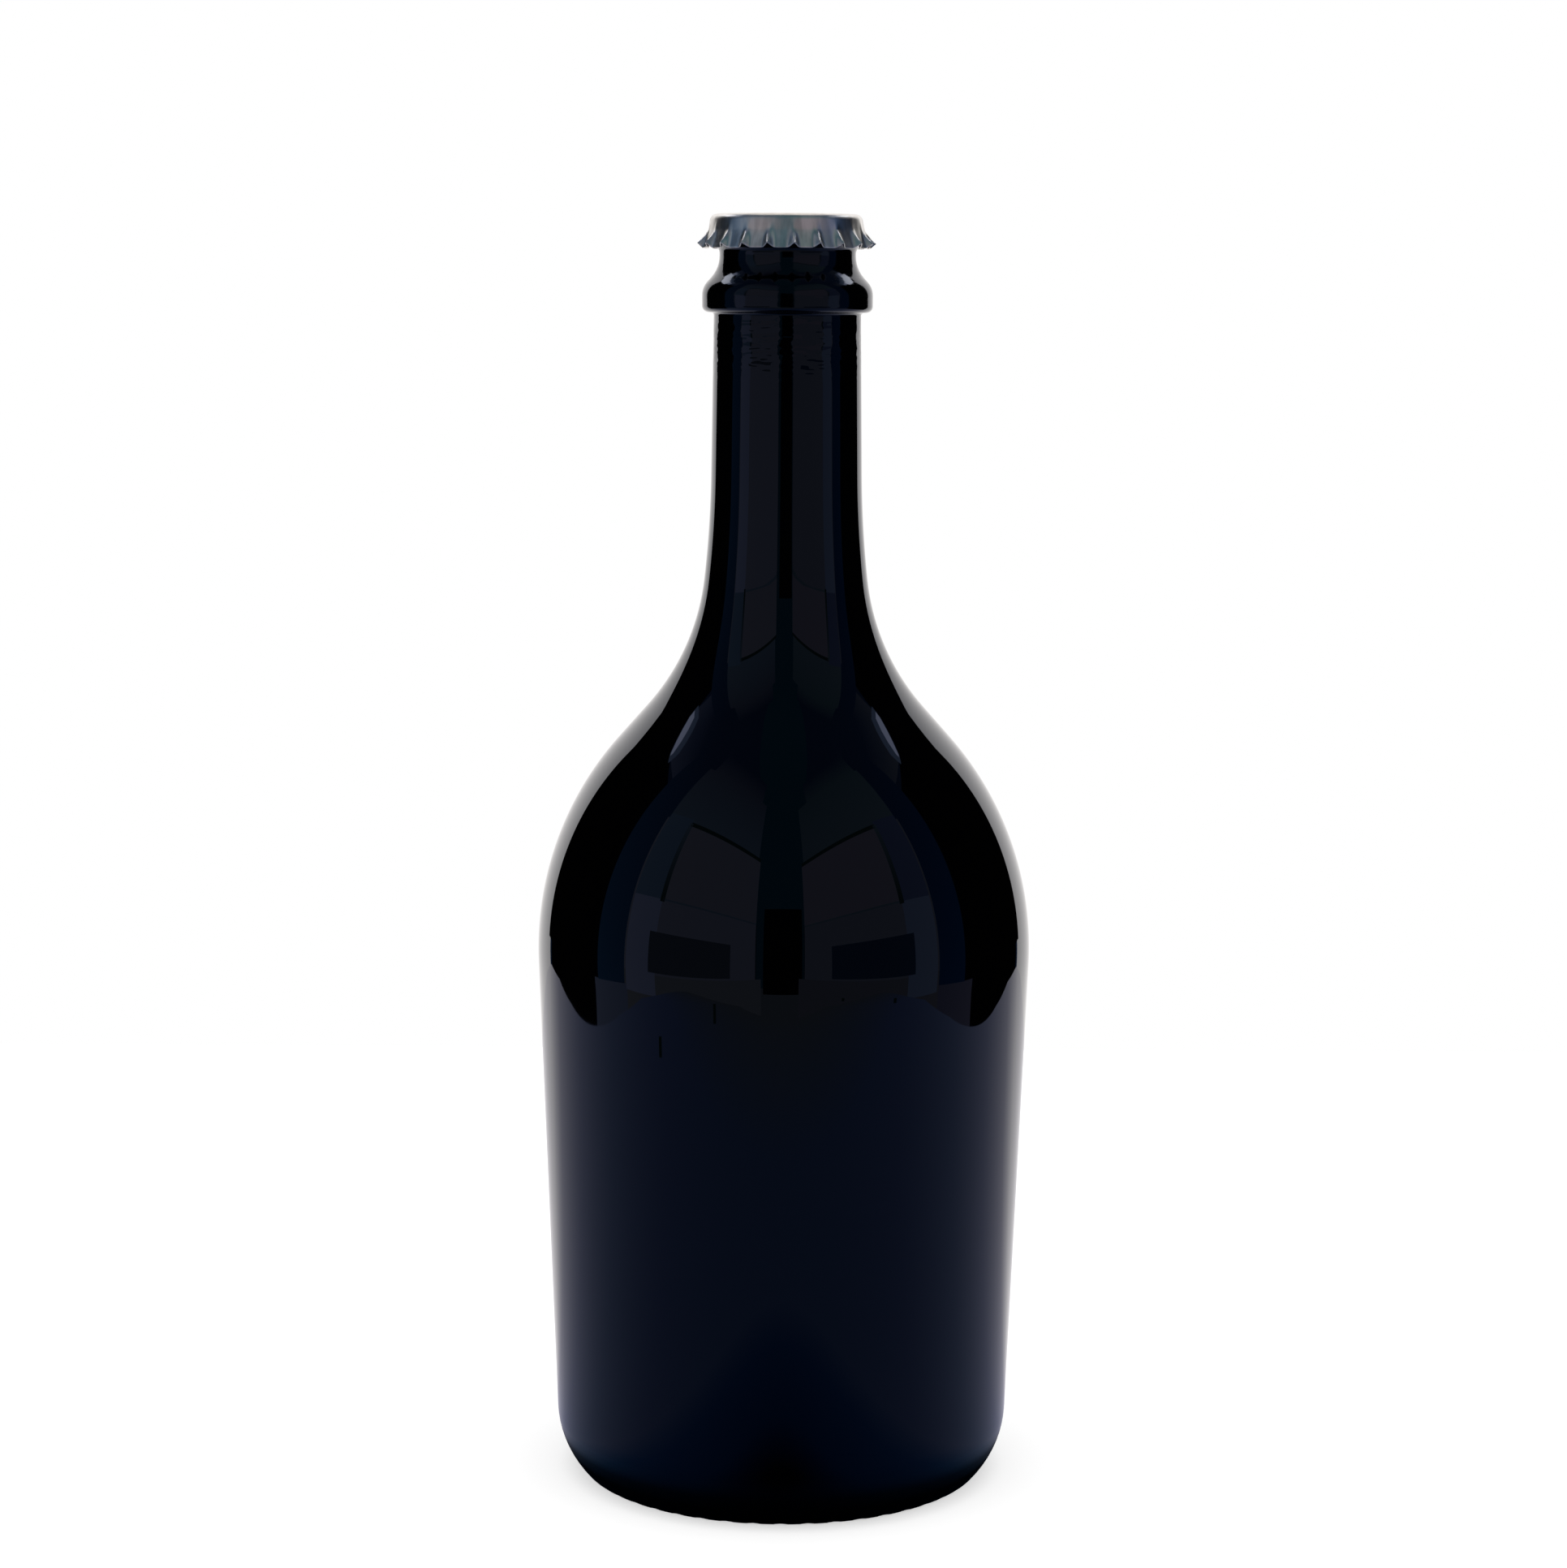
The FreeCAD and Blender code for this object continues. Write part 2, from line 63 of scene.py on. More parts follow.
FULL_TURN = 2 * math.pi
UP = 90.0
OUTWARDS = 0.0
INWARDS = 180.0
TOUCHING = 1e-6
"""Points nearer to each other than this, in metres, are one point."""
HALF_COLUMN = 0.5
"""A vertex is in a column if it is less than this from it, in columns."""
NOISE_MIDDLE = 0.5
"""The value that the soft unevenness swings about."""
BLACK: Colour = (0.0, 0.0, 0.0)
WHITE: Colour = (1.0, 1.0, 1.0)


class Side(Enum):
    """The two sides of the studio, as seen from the front."""

    LEFT = -1
    RIGHT = 1


# ---- Modelling -------------------------------------------


def deselect_everything() -> None:
    """Deselect every object, so that an operator acts only on what is chosen next."""
    bpy.ops.object.select_all(action="DESELECT")


def choose_only(piece: bpy.types.Object) -> None:
    """Make one object the selected and the active one.

    Args:
        piece: The object.
    """
    deselect_everything()
    piece.select_set(True)
    bpy.context.view_layer.objects.active = piece


def choose_points(piece: bpy.types.Object, wanted: Callable[[Vector], bool]) -> None:
    """Select, of the mesh being edited, the vertices that a test picks.

    Args:
        piece: The object, in edit mode.
        wanted: A function of a vertex's place that is true for the vertices to select.
    """
    bpy.ops.mesh.select_all(action="DESELECT")
    bpy.ops.object.mode_set(mode="OBJECT")
    for vertex in piece.data.vertices:
        vertex.select = wanted(vertex.co)
    bpy.ops.object.mode_set(mode="EDIT")


def close_mesh() -> None:
    """Merge the seam and the poles of the mesh being edited, and point its faces outwards."""
    bpy.ops.mesh.select_all(action="SELECT")
    bpy.ops.mesh.remove_doubles(threshold=TOUCHING)
    bpy.ops.mesh.normals_make_consistent(inside=False)


class OutlinePen:
    """Draws an outline of straights and bends in the X-Z plane, to be spun about the Z axis.

    The pen heads along +X at 0 degrees and along +Z at 90 degrees. Each bend starts in the
    direction in which the pen heads, so the outline has a corner only where a straight is given a
    heading.
    """

    LONGEST_STRAIGHT = 0.0040
    LONGEST_CHORD = 0.0016
    LARGEST_TURN = 8.0

    def __init__(self, name: str, radius: float, height: float) -> None:
        """Put the pen down at a first point.

        Args:
            name: The new object's name.
            radius: The point's distance from the axis.
            height: The point's height.
        """
        deselect_everything()
        bpy.ops.mesh.primitive_plane_add(size=self.LONGEST_CHORD)
        self.piece = bpy.context.object
        self.piece.name = name
        bpy.ops.object.mode_set(mode="EDIT")
        bpy.ops.mesh.merge(type="CENTER")
        bpy.ops.transform.translate(value=(radius, 0, height))
        self.place = Vector((radius, 0, height))
        self.heading = OUTWARDS

    def straight(self, length: float, heading: float | None = None) -> None:
        """Draw a straight.

        Args:
            length: Its length.
            heading: The direction to turn to first, in degrees, or None to go straight on.
        """
        if heading is not None:
            self.heading = heading
        turn = math.radians(self.heading)
        parts = max(1, math.ceil(length / self.LONGEST_STRAIGHT))
        move = Vector((math.cos(turn), 0, math.sin(turn))) * (length / parts)
        for _ in range(parts):
            bpy.ops.mesh.extrude_vertices_move(TRANSFORM_OT_translate={"value": move})
        self.place += move * parts

    def bend(self, radius: float, heading: float) -> None:
        """Draw an arc that ends on a new heading.

        Args:
            radius: Its radius.
            heading: The direction at its end, in degrees.
        """
        swing = heading - self.heading
        side = math.copysign(1, swing)
        start = math.radians(self.heading + side * UP)
        centre = self.place + Vector((math.cos(start), 0, math.sin(start))) * radius
        chord_steps = math.radians(abs(swing)) * radius / self.LONGEST_CHORD
        steps = math.ceil(max(chord_steps, abs(swing) / self.LARGEST_TURN))
        bpy.ops.mesh.spin(
            steps=steps, angle=math.radians(abs(swing)), center=centre, axis=(0, side, 0)
        )
        self.heading = heading
        end = math.radians(heading - side * UP)
        self.place = centre + Vector((math.cos(end), 0, math.sin(end))) * radius

    def spin(self, segments: int, angle: float = FULL_TURN) -> bpy.types.Object:
        """Spin the outline about the Z axis and leave edit mode.

        Args:
            segments: How many steps the spin has.
            angle: How far it goes, in radians.

        Returns:
            The new object.
        """
        bpy.ops.mesh.select_all(action="SELECT")
        bpy.ops.mesh.spin(steps=segments, angle=angle, center=(0, 0, 0), axis=(0, 0, 1))
        close_mesh()
        bpy.ops.object.mode_set(mode="OBJECT")
        return self.piece


def slope_heading(
    run: float, bulge: float, slope: float, hollow: float, below: float, above: float
) -> float:
    """Work out how a bulging arc, a straight slope and a hollow arc reach inwards together.

    Args:
        run: How far in towards the axis the three reach.
        bulge: The bulging arc's radius.
        slope: The slope's length.
        hollow: The hollow arc's radius.
        below: The heading where the bulge starts, in degrees.
        above: The heading where the hollow ends, in degrees.

    Returns:
        The slope's heading, in degrees.
    """
    wanted = bulge * math.cos(math.radians(below - UP)) - run
    wanted += hollow * math.cos(math.radians(above - UP))
    arcs = bulge + hollow
    lean = math.acos(wanted / math.hypot(arcs, slope)) - math.atan2(slope, arcs)
    return UP + math.degrees(lean)


# ---- Node trees ------------------------------------------


class NodeSheet:
    """A node tree that is being filled in."""

    def __init__(self, tree: bpy.types.NodeTree) -> None:
        """Start with an empty tree.

        Args:
            tree: The tree, whose nodes are cleared.
        """
        self.tree = tree
        tree.nodes.clear()

    def add(
        self, kind: str, inputs: dict[str | int, Input] | None = None, **settings: object
    ) -> bpy.types.Node:
        """Add a node.

        Args:
            kind: The node's type.
            inputs: For each input, by name or number, the socket that feeds it or its value.
            settings: The node's other properties.

        Returns:
            The new node.
        """
        node = self.tree.nodes.new(kind)
        for name, setting in settings.items():
            setattr(node, name, setting)
        for name, value in (inputs or {}).items():
            if isinstance(value, bpy.types.NodeSocket):
                self.tree.links.new(value, node.inputs[name])
            else:
                node.inputs[name].default_value = value
        return node

    def sum_of(self, operation: str, *values: Input) -> bpy.types.NodeSocket:
        """Add a Math node with these values or sockets and return its result."""
        node = self.add("ShaderNodeMath", dict(enumerate(values)), operation=operation)
        return node.outputs[0]

    def vector(self, operation: str, *values: Input) -> bpy.types.Node:
        """Add a Vector Math node with these values or sockets."""
        return self.add("ShaderNodeVectorMath", dict(enumerate(values)), operation=operation)

    def place(self) -> bpy.types.NodeSocket:
        """The place on the object, in the object's own axes."""
        return self.add("ShaderNodeTexCoord").outputs["Object"]

    def along(self, axis: str) -> bpy.types.NodeSocket:
        """How far along one of the object's own axes a point lies."""
        return self.add("ShaderNodeSeparateXYZ", {0: self.place()}).outputs[axis]

    def spread(
        self,
        value: bpy.types.NodeSocket,
        limits: tuple[float, float],
        ends: tuple[float, float] = (0.0, 1.0),
    ) -> bpy.types.NodeSocket:
        """Spread a range of a number over another range, and go past neither end.

        Args:
            value: The number.
            limits: The range that it is read over.
            ends: The range that comes out.

        Returns:
            The number that comes out.
        """
        names = ("From Min", "From Max", "To Min", "To Max")
        inputs = {"Value": value} | dict(zip(names, limits + ends))
        return self.add("ShaderNodeMapRange", inputs).outputs[0]

    def ramp(self, factor: bpy.types.NodeSocket, stops: Stops) -> bpy.types.NodeSocket:
        """Colour a factor by a ramp.

        Args:
            factor: The number that the ramp is read at.
            stops: The ramp's places and colours.

        Returns:
            The colour.
        """
        node = self.add("ShaderNodeValToRGB", {"Fac": factor})
        elements = node.color_ramp.elements
        while len(elements) < len(stops):
            elements.new(1.0)
        for element, (place, colour) in zip(elements, stops):
            element.position = place
            element.color = opaque(colour)
        return node.outputs["Color"]

    def mix(self, mode: str, factor: Input, first: Input, second: Input) -> bpy.types.NodeSocket:
        """Mix two colours.

        Args:
            mode: The blend mode's name.
            factor: How much of the second colour counts.
            first: The colour underneath.
            second: The colour on top.

        Returns:
            The mixed colour.
        """
        inputs = {"Factor": factor, 6: first, 7: second}
        node = self.add("ShaderNodeMix", inputs, data_type="RGBA", blend_type=mode)
        return node.outputs[2]

    def bump(
        self, height: Input, distance: float, under: bpy.types.NodeSocket | None = None
    ) -> bpy.types.NodeSocket:
        """Raise a bump.

        Args:
            height: Its height, from 0 to 1.
            distance: How high 1 is, in metres.
            under: The normal that it stands on, or None for the mesh's own.

        Returns:
            The normal.
        """
        inputs = {"Height": height, "Distance": distance}
        if under is not None:
            inputs["Normal"] = under
        return self.add("ShaderNodeBump", inputs).outputs[0]

    def choose(
        self, ray: str, otherwise: bpy.types.NodeSocket, shown: bpy.types.NodeSocket
    ) -> bpy.types.NodeSocket:
        """Show one shader to one kind of ray, and another to the rest.

        Args:
            ray: The ray's name in the Light Path node.
            otherwise: The shader for the rest.
            shown: The shader for that kind.

        Returns:
            The chosen shader.
        """
        asked = self.add("ShaderNodeLightPath").outputs[ray]
        return self.add("ShaderNodeMixShader", {0: asked, 1: otherwise, 2: shown}).outputs[0]


def opaque(colour: Colour) -> tuple[float, float, float, float]:
    """A colour with full alpha, as sockets take it."""
    return (*colour, 1.0)


def grey(level: float) -> Colour:
    """A grey of a level from 0, black, to 1, white."""
    return (level, level, level)


def new_group(name: str, inputs: dict[str, float], output: str) -> tuple[NodeSheet, bpy.types.Node]:
    """Make an empty node group for an effect that several finishes use.

    Args:
        name: The group's name.
        inputs: The name and first value of each number that goes in.
        output: The name of the number that comes out.

    Returns:
        The group's sheet and its input node.
    """
    tree = bpy.data.node_groups.new(name, "ShaderNodeTree")
    for socket, value in inputs.items():
        entry = tree.interface.new_socket(socket, in_out="INPUT", socket_type="NodeSocketFloat")
        entry.default_value = value
    tree.interface.new_socket(output, in_out="OUTPUT", socket_type="NodeSocketFloat")
    sheet = NodeSheet(tree)
    return sheet, sheet.add("NodeGroupInput")


class Effects:
    """The node groups that the finishes share, each built once."""

    def __init__(self) -> None:
        """Build the groups."""
        self.unevenness = self._build_unevenness()
        self.seeds = self._build_seeds()

    @staticmethod
    def _build_unevenness() -> bpy.types.NodeTree:
        """A soft unevenness from 0 to 1, which can be drawn out along the Z axis.

        Returns:
            The group.
        """
        sheet, given = new_group("unevenness", {"Scale": 50, "Drawn Out": 1, "Detail": 1}, "Height")
        parts = sheet.add("ShaderNodeSeparateXYZ", {0: sheet.place()})
        height = sheet.sum_of("DIVIDE", parts.outputs["Z"], given.outputs["Drawn Out"])
        drawn = {"X": parts.outputs["X"], "Y": parts.outputs["Y"], "Z": height}
        inputs = {name: given.outputs[name] for name in ("Scale", "Detail")}
        inputs["Vector"] = sheet.add("ShaderNodeCombineXYZ", drawn).outputs[0]
        noise = sheet.add("ShaderNodeTexNoise", inputs)
        sheet.add("NodeGroupOutput", {0: noise.outputs["Fac"]})
        return sheet.tree

    @staticmethod
    def _build_seeds() -> bpy.types.NodeTree:
        """Rare small round spots, 1 at their middle and 0 around them.

        Returns:
            The group.
        """
        sheet, given = new_group("seeds", {"Scale": 60, "Size": 0.03, "Share": 0.1}, "Mask")
        inputs = {"Vector": sheet.place(), "Scale": given.outputs["Scale"]}
        cells = sheet.add("ShaderNodeTexVoronoi", inputs)
        reach = sheet.sum_of("DIVIDE", cells.outputs["Distance"], given.outputs["Size"])
        spot = sheet.add("ShaderNodeMath", {0: 1.0, 1: reach}, operation="SUBTRACT", use_clamp=True)
        pick = sheet.add("ShaderNodeSeparateColor", {0: cells.outputs["Color"]}).outputs["Red"]
        chosen = sheet.sum_of("LESS_THAN", pick, given.outputs["Share"])
        sheet.add("NodeGroupOutput", {0: sheet.sum_of("MULTIPLY", spot.outputs[0], chosen)})
        return sheet.tree


def place_effect(
    sheet: NodeSheet, effect: bpy.types.NodeTree, **values: float
) -> bpy.types.NodeSocket:
    """Place a shared effect in a finish with its own values and return its output."""
    named = {name.replace("_", " "): value for name, value in values.items()}
    return sheet.add("ShaderNodeGroup", named, node_tree=effect).outputs[0]


def new_material(name: str) -> tuple[bpy.types.Material, NodeSheet]:
    """Make a material of nodes.

    Args:
        name: The material's name.

    Returns:
        The material and its empty sheet.
    """
    material = bpy.data.materials.new(name)
    material.use_nodes = True
    return material, NodeSheet(material.node_tree)


# ---- Finishes --------------------------------------------


@dataclass(frozen=True)
class BlackGlass:
    """Glass so dark a blue that it is black and opaque, fire-polished, with a slight wave.

    The mould of the neck ring leaves ripples at the top of the neck and a duller skin above them.
    """

    name: str = "black_glass"
    colour: Colour = (0.0001, 0.0001, 0.0003)
    smudge_colour: Colour = (0.0003, 0.0003, 0.0006)
    shine: Colour = (0.45, 0.55, 0.75)
    roughness: float = 0.012
    smudge: float = 0.03
    smudge_scale: float = 18.0
    smudge_detail: float = 3.0
    smudge_tones: tuple[float, float] = (0.40, 0.90)
    smudge_limits: tuple[float, float] = (0.45, 0.75)
    refraction: float = 1.52
    wave_scale: float = 42.0
    wave_depth: float = 0.00007
    wave_drawn_out: float = 2.2
    seed_scale: float = 70.0
    seed_size: float = 0.045
    seed_share: float = 0.05
    seed_height: float = 0.00015
    ring: tuple[float, float] = (0.215, 0.255)
    ring_rough: float = 0.07
    ring_skin: Stops = ((0.43, BLACK), (0.49, WHITE))
    ripple_scale: float = 120.0
    ripple_drawn_out: float = 0.32
    ripple_detail: float = 2.0
    ripple_depth: float = 0.00036
    ripple_fade: Stops = ((0.08, BLACK), (0.24, WHITE), (0.36, grey(0.75)), (0.44, grey(0.25)))

    def material(self, effects: Effects) -> bpy.types.Material:
        """Build the material.

        Args:
            effects: The shared node groups.

        Returns:
            The finished material.
        """
        material, sheet = new_material(self.name)
        smudges = place_effect(
            sheet, effects.unevenness, Scale=self.smudge_scale, Detail=self.smudge_detail
        )
        ring = sheet.spread(sheet.along("Z"), self.ring)
        polish = sheet.spread(smudges, self.smudge_limits, (self.roughness, self.smudge))
        shader = sheet.add(
            "ShaderNodeBsdfPrincipled",
            {
                "Base Color": self._colour(sheet, smudges),
                "Roughness": sheet.sum_of(
                    "MULTIPLY_ADD", sheet.ramp(ring, self.ring_skin), self.ring_rough, polish
                ),
                "IOR": self.refraction,
                "Specular Tint": opaque(self.shine),
                "Normal": self._relief(sheet, effects, ring),
            },
        )
        sheet.add("ShaderNodeOutputMaterial", {"Surface": shader.outputs[0]})
        return material

    def _colour(self, sheet: NodeSheet, smudges: bpy.types.NodeSocket) -> bpy.types.NodeSocket:
        """The glass's near black, a trace paler where it is smudged."""
        stops = zip(self.smudge_tones, (self.colour, self.smudge_colour))
        return sheet.ramp(smudges, tuple(stops))

    def _relief(
        self, sheet: NodeSheet, effects: Effects, ring: bpy.types.NodeSocket
    ) -> bpy.types.NodeSocket:
        """The skin's slight wave, the ripples under the neck ring and the raised seeds.

        Args:
            sheet: The material's sheet.
            effects: The shared node groups.
            ring: The height on the glass, from 0 to 1 over the neck's top and the neck ring.

        Returns:
            The normal.
        """
        waves = place_effect(
            sheet, effects.unevenness, Scale=self.wave_scale, Drawn_Out=self.wave_drawn_out
        )
        ripples = place_effect(
            sheet,
            effects.unevenness,
            Scale=self.ripple_scale,
            Drawn_Out=self.ripple_drawn_out,
            Detail=self.ripple_detail,
        )
        faded = sheet.sum_of("MULTIPLY", ripples, sheet.ramp(ring, self.ripple_fade))
        seeds = place_effect(
            sheet, effects.seeds, Scale=self.seed_scale, Size=self.seed_size, Share=self.seed_share
        )
        wavy = sheet.bump(waves, self.wave_depth)
        rippled = sheet.bump(faded, self.ripple_depth, wavy)
        return sheet.bump(seeds, self.seed_height, rippled)


@dataclass(frozen=True)
class SilverSteel:
    """Thin tinned steel with a clear lacquer: bright, smooth, with a faint grain from rolling."""

    name: str = "silver_steel"
    bright: Colour = (0.90, 0.88, 0.84)
    dull: Colour = (0.66, 0.65, 0.62)
    tones: tuple[float, float] = (0.38, 0.60)
    roughness: float = 0.30
    roughness_spread: float = 0.08
    grain_scale: float = 1100.0
    grain_drawn_out: float = 16.0
    grain_depth: float = 0.000012
    streak_scale: float = 620.0
    streak_drawn_out: float = 9.0
    streak_detail: float = 2.0
    streaks_fade: tuple[float, float] = (0.2502, 0.2512)
    flat_streaks: float = 0.2
    cloud_scale: float = 160.0
    cloud_detail: float = 4.0
    cloud_limits: tuple[float, float] = (0.3, 0.7)

    def material(self, effects: Effects) -> bpy.types.Material:
        """Build the material.

        Args:
            effects: The shared node groups.

        Returns:
            The finished material.
        """
        material, sheet = new_material(self.name)
        clouds = place_effect(
            sheet, effects.unevenness, Scale=self.cloud_scale, Detail=self.cloud_detail
        )
        rough = (self.roughness, self.roughness + self.roughness_spread)
        grain = place_effect(
            sheet, effects.unevenness, Scale=self.grain_scale, Drawn_Out=self.grain_drawn_out
        )
        shader = sheet.add(
            "ShaderNodeBsdfPrincipled",
            {
                "Base Color": self._tone(sheet, effects),
                "Metallic": 1.0,
                "Roughness": sheet.spread(clouds, self.cloud_limits, rough),
                "Normal": sheet.bump(grain, self.grain_depth),
            },
        )
        sheet.add("ShaderNodeOutputMaterial", {"Surface": shader.outputs[0]})
        return material

    def _tone(self, sheet: NodeSheet, effects: Effects) -> bpy.types.NodeSocket:
        """The steel's colour, streaked on the drawn wall and nearly even on the flat top.

        Args:
            sheet: The material's sheet.
            effects: The shared node groups.

        Returns:
            The colour.
        """
        streaks = place_effect(
            sheet,
            effects.unevenness,
            Scale=self.streak_scale,
            Drawn_Out=self.streak_drawn_out,
            Detail=self.streak_detail,
        )
        share = sheet.spread(sheet.along("Z"), self.streaks_fade, (1.0, self.flat_streaks))
        swing = sheet.sum_of("SUBTRACT", streaks, NOISE_MIDDLE)
        streaked = sheet.sum_of("ADD", sheet.sum_of("MULTIPLY", swing, share), NOISE_MIDDLE)
        return sheet.ramp(streaked, tuple(zip(self.tones, (self.dull, self.bright))))


# ---- The bottle ------------------------------------------


@dataclass
class Bottle:
    """The black glass bottle, turned from one outline, with a knurled bearing ring under it."""

    foot_radius: float = 0.0450
    shoulder_radius: float = 0.0491
    shoulder_height: float = 0.1039
    heel_arc: float = 0.0190
    heel_inset: float = 0.0054
    heel_round: float = 0.0012
    bearing_width: float = 0.0034
    pushup_round: float = 0.0040
    pushup_rise: float = 0.0060
    shoulder_arc: float = 0.0637
    slope_length: float = 0.0086
    throat_arc: float = 0.0458
    neck_arc: float = 0.2060
    neck_blend: float = 0.0204
    neck_base_radius: float = 0.01487
    neck_length: float = 0.0312
    lip_radius: float = 0.0143
    lip_face: float = 0.00315
    lip_round: float = 0.0026
    lip_lean: float = 45.0
    lip_fillet: float = 0.0016
    waist_inset: float = 0.00095
    waist_height: float = 0.0004
    waist_arc: float = 0.0063
    bead_reach: float = 0.0034
    bead_slope: float = 0.0011
    bead_arc: float = 0.0040
    bead_face: float = 0.0020
    bead_round: float = 0.0013
    bead_fillet: float = 0.0006
    neck_inset: float = 0.0023
    knurl_count: int = 48
    knurl_width: float = 0.0030
    knurl_depth: float = 0.00036
    knurl_land: float = 0.0008
    knurl_wall: float = 0.00005
    columns_per_bar: int = 8
    smooth_under: float = 40.0

    def build(self, finish: bpy.types.Material) -> bpy.types.Object:
        """Turn the bottle, press its knurl and dress it.

        Args:
            finish: The glass's material.

        Returns:
            The finished piece, which stands for the node "bottle".
        """
        low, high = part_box("bottle")
        pen = OutlinePen("bottle_glass", 0, low.z + self.pushup_rise)
        self._draw_underside(pen)
        self._draw_side(pen)
        self._draw_neck(pen)
        self._draw_bead(pen)
        self._draw_lip(pen)
        LOG.info("bottle: outline ends %.4f mm from the frame's top", (pen.place.z - high.z) * 1000)
        piece = pen.spin(self.knurl_count * self.columns_per_bar)
        self._press_knurl(piece, low.z)
        bpy.ops.object.shade_smooth_by_angle(angle=math.radians(self.smooth_under))
        piece.data.materials.append(finish)
        return piece

    @property
    def bearing_out(self) -> float:
        """The bearing ring's outer radius."""
        return self.foot_radius - self.heel_inset

    def _draw_underside(self, pen: OutlinePen) -> None:
        """Draw the push-up and the bearing ring, whose plain land is drawn apart.

        Args:
            pen: The pen, on the axis.
        """
        bearing_in = self.bearing_out - self.bearing_width
        reach = self.pushup_rise + self.pushup_round
        drop = (reach**2 - bearing_in**2 - self.pushup_round**2) / (2 * self.pushup_rise)
        dome = self.pushup_rise - drop
        pen.bend(dome, -math.degrees(math.asin(bearing_in / (dome + self.pushup_round))))
        pen.bend(self.pushup_round, OUTWARDS)
        pen.straight(self.knurl_land)
        pen.straight(self.knurl_wall)
        pen.straight(self.bearing_width - self.knurl_land - self.knurl_wall)

    def _draw_side(self, pen: OutlinePen) -> None:
        """Draw the rounded heel and the tapered side.

        Args:
            pen: The pen, at the bearing ring's outer edge.
        """
        lean = math.atan2(self.shoulder_radius - self.foot_radius, self.shoulder_height)
        # The heel's centre is on a line beside the side's, one radius less the rounding from the
        # rounding's own centre.
        line_radius = self.foot_radius - self.heel_arc / math.cos(lean)
        tilt = math.tan(lean)
        offset = line_radius - self.bearing_out
        square = 1 + tilt**2
        linear = tilt * offset - self.heel_round
        rest = offset**2 + self.heel_round**2 - (self.heel_arc - self.heel_round) ** 2
        height = (-linear + math.sqrt(linear**2 - square * rest)) / square
        inset = self.bearing_out - line_radius - tilt * height
        pen.bend(self.heel_round, math.degrees(math.atan2(inset, height - self.heel_round)))
        pen.bend(self.heel_arc, UP - math.degrees(lean))
        rise = self.shoulder_height - height + self.heel_arc * math.sin(lean)
        pen.straight(rise / math.cos(lean))

    def _draw_neck(self, pen: OutlinePen) -> None:
        """Draw the shoulder, the slope, the throat and the neck.

        Args:
            pen: The pen, at the side's top.
        """
        neck_top = self.lip_radius - self.waist_inset + self.bead_reach - self.neck_inset
        neck_lean = math.atan2(self.neck_base_radius - neck_top, self.neck_length)
        blend_lean = math.asin(math.sin(neck_lean) + self.neck_blend / self.neck_arc)
        blend_run = self.neck_arc * (math.cos(neck_lean) - math.cos(blend_lean))
        run = self.shoulder_radius - self.neck_base_radius - blend_run
        throat = UP + math.degrees(blend_lean)
        arcs = (self.shoulder_arc, self.slope_length, self.throat_arc)
        pen.bend(self.shoulder_arc, slope_heading(run, *arcs, pen.heading, throat))
        pen.straight(self.slope_length)
        pen.bend(self.throat_arc, throat)
        pen.bend(self.neck_arc, UP + math.degrees(neck_lean))
        pen.straight(self.neck_length / math.cos(neck_lean))

    def _draw_bead(self, pen: OutlinePen) -> None:
        """Draw the bead under the finish and the waist above it.

        Args:
            pen: The pen, at the neck's top.
        """
        arcs = (self.bead_arc, self.bead_slope, self.waist_arc)
        pen.bend(self.bead_fillet, OUTWARDS)
        pen.straight(self.neck_inset - self.bead_fillet - self.bead_round)
        pen.bend(self.bead_round, UP)
        pen.straight(self.bead_face)
        pen.bend(self.bead_arc, slope_heading(self.bead_reach, *arcs, UP, UP))
        pen.straight(self.bead_slope)
        pen.bend(self.waist_arc, UP)
        pen.straight(self.waist_height)

    def _draw_lip(self, pen: OutlinePen) -> None:
        """Draw the lip and go in to the axis.

        Args:
            pen: The pen, at the waist's top.
        """
        pen.bend(self.lip_fillet, UP - self.lip_lean)
        pen.straight((self.lip_radius - pen.place.x) / math.sin(math.radians(self.lip_lean)))
        pen.straight(self.lip_face, UP)
        pen.bend(self.lip_round, INWARDS)
        pen.straight(pen.place.x)

    def _press_knurl(self, piece: bpy.types.Object, bearing: float) -> None:
        """Press the shallow grooves across the bearing ring, all of them at once.

        Args:
            piece: The turned bottle.
            bearing: The bearing plane's height.
        """
        pitch = FULL_TURN / self.knurl_count
        start = self.bearing_out - self.bearing_width + self.knurl_land + self.knurl_wall
        bpy.ops.object.mode_set(mode="EDIT")
        for column in range(self.columns_per_bar // 2):
            aside = self.bearing_out * math.sin(pitch * column / self.columns_per_bar)
            roof = self.knurl_depth * (1 - (2 * aside / self.knurl_width) ** 2)
            if roof <= 0:
                break

            def under_roof(place: Vector) -> bool:
                """Whether a vertex in this column lies lower than the groove's roof.

                Args:
                    place: The vertex's place.

                Returns:
                    True if it has to be raised.
                """
                turn = math.atan2(place.y, place.x) / pitch
                offset = abs(turn - round(turn)) * self.columns_per_bar
                outside = math.hypot(place.x, place.y) > start - TOUCHING
                level = outside and place.z < bearing + roof
                return level and abs(offset - column) < HALF_COLUMN

            choose_points(piece, under_roof)
            bpy.ops.transform.resize(value=(1, 1, 0), center_override=(0, 0, bearing + roof))
        bpy.ops.object.mode_set(mode="OBJECT")


# ---- The cap ---------------------------------------------


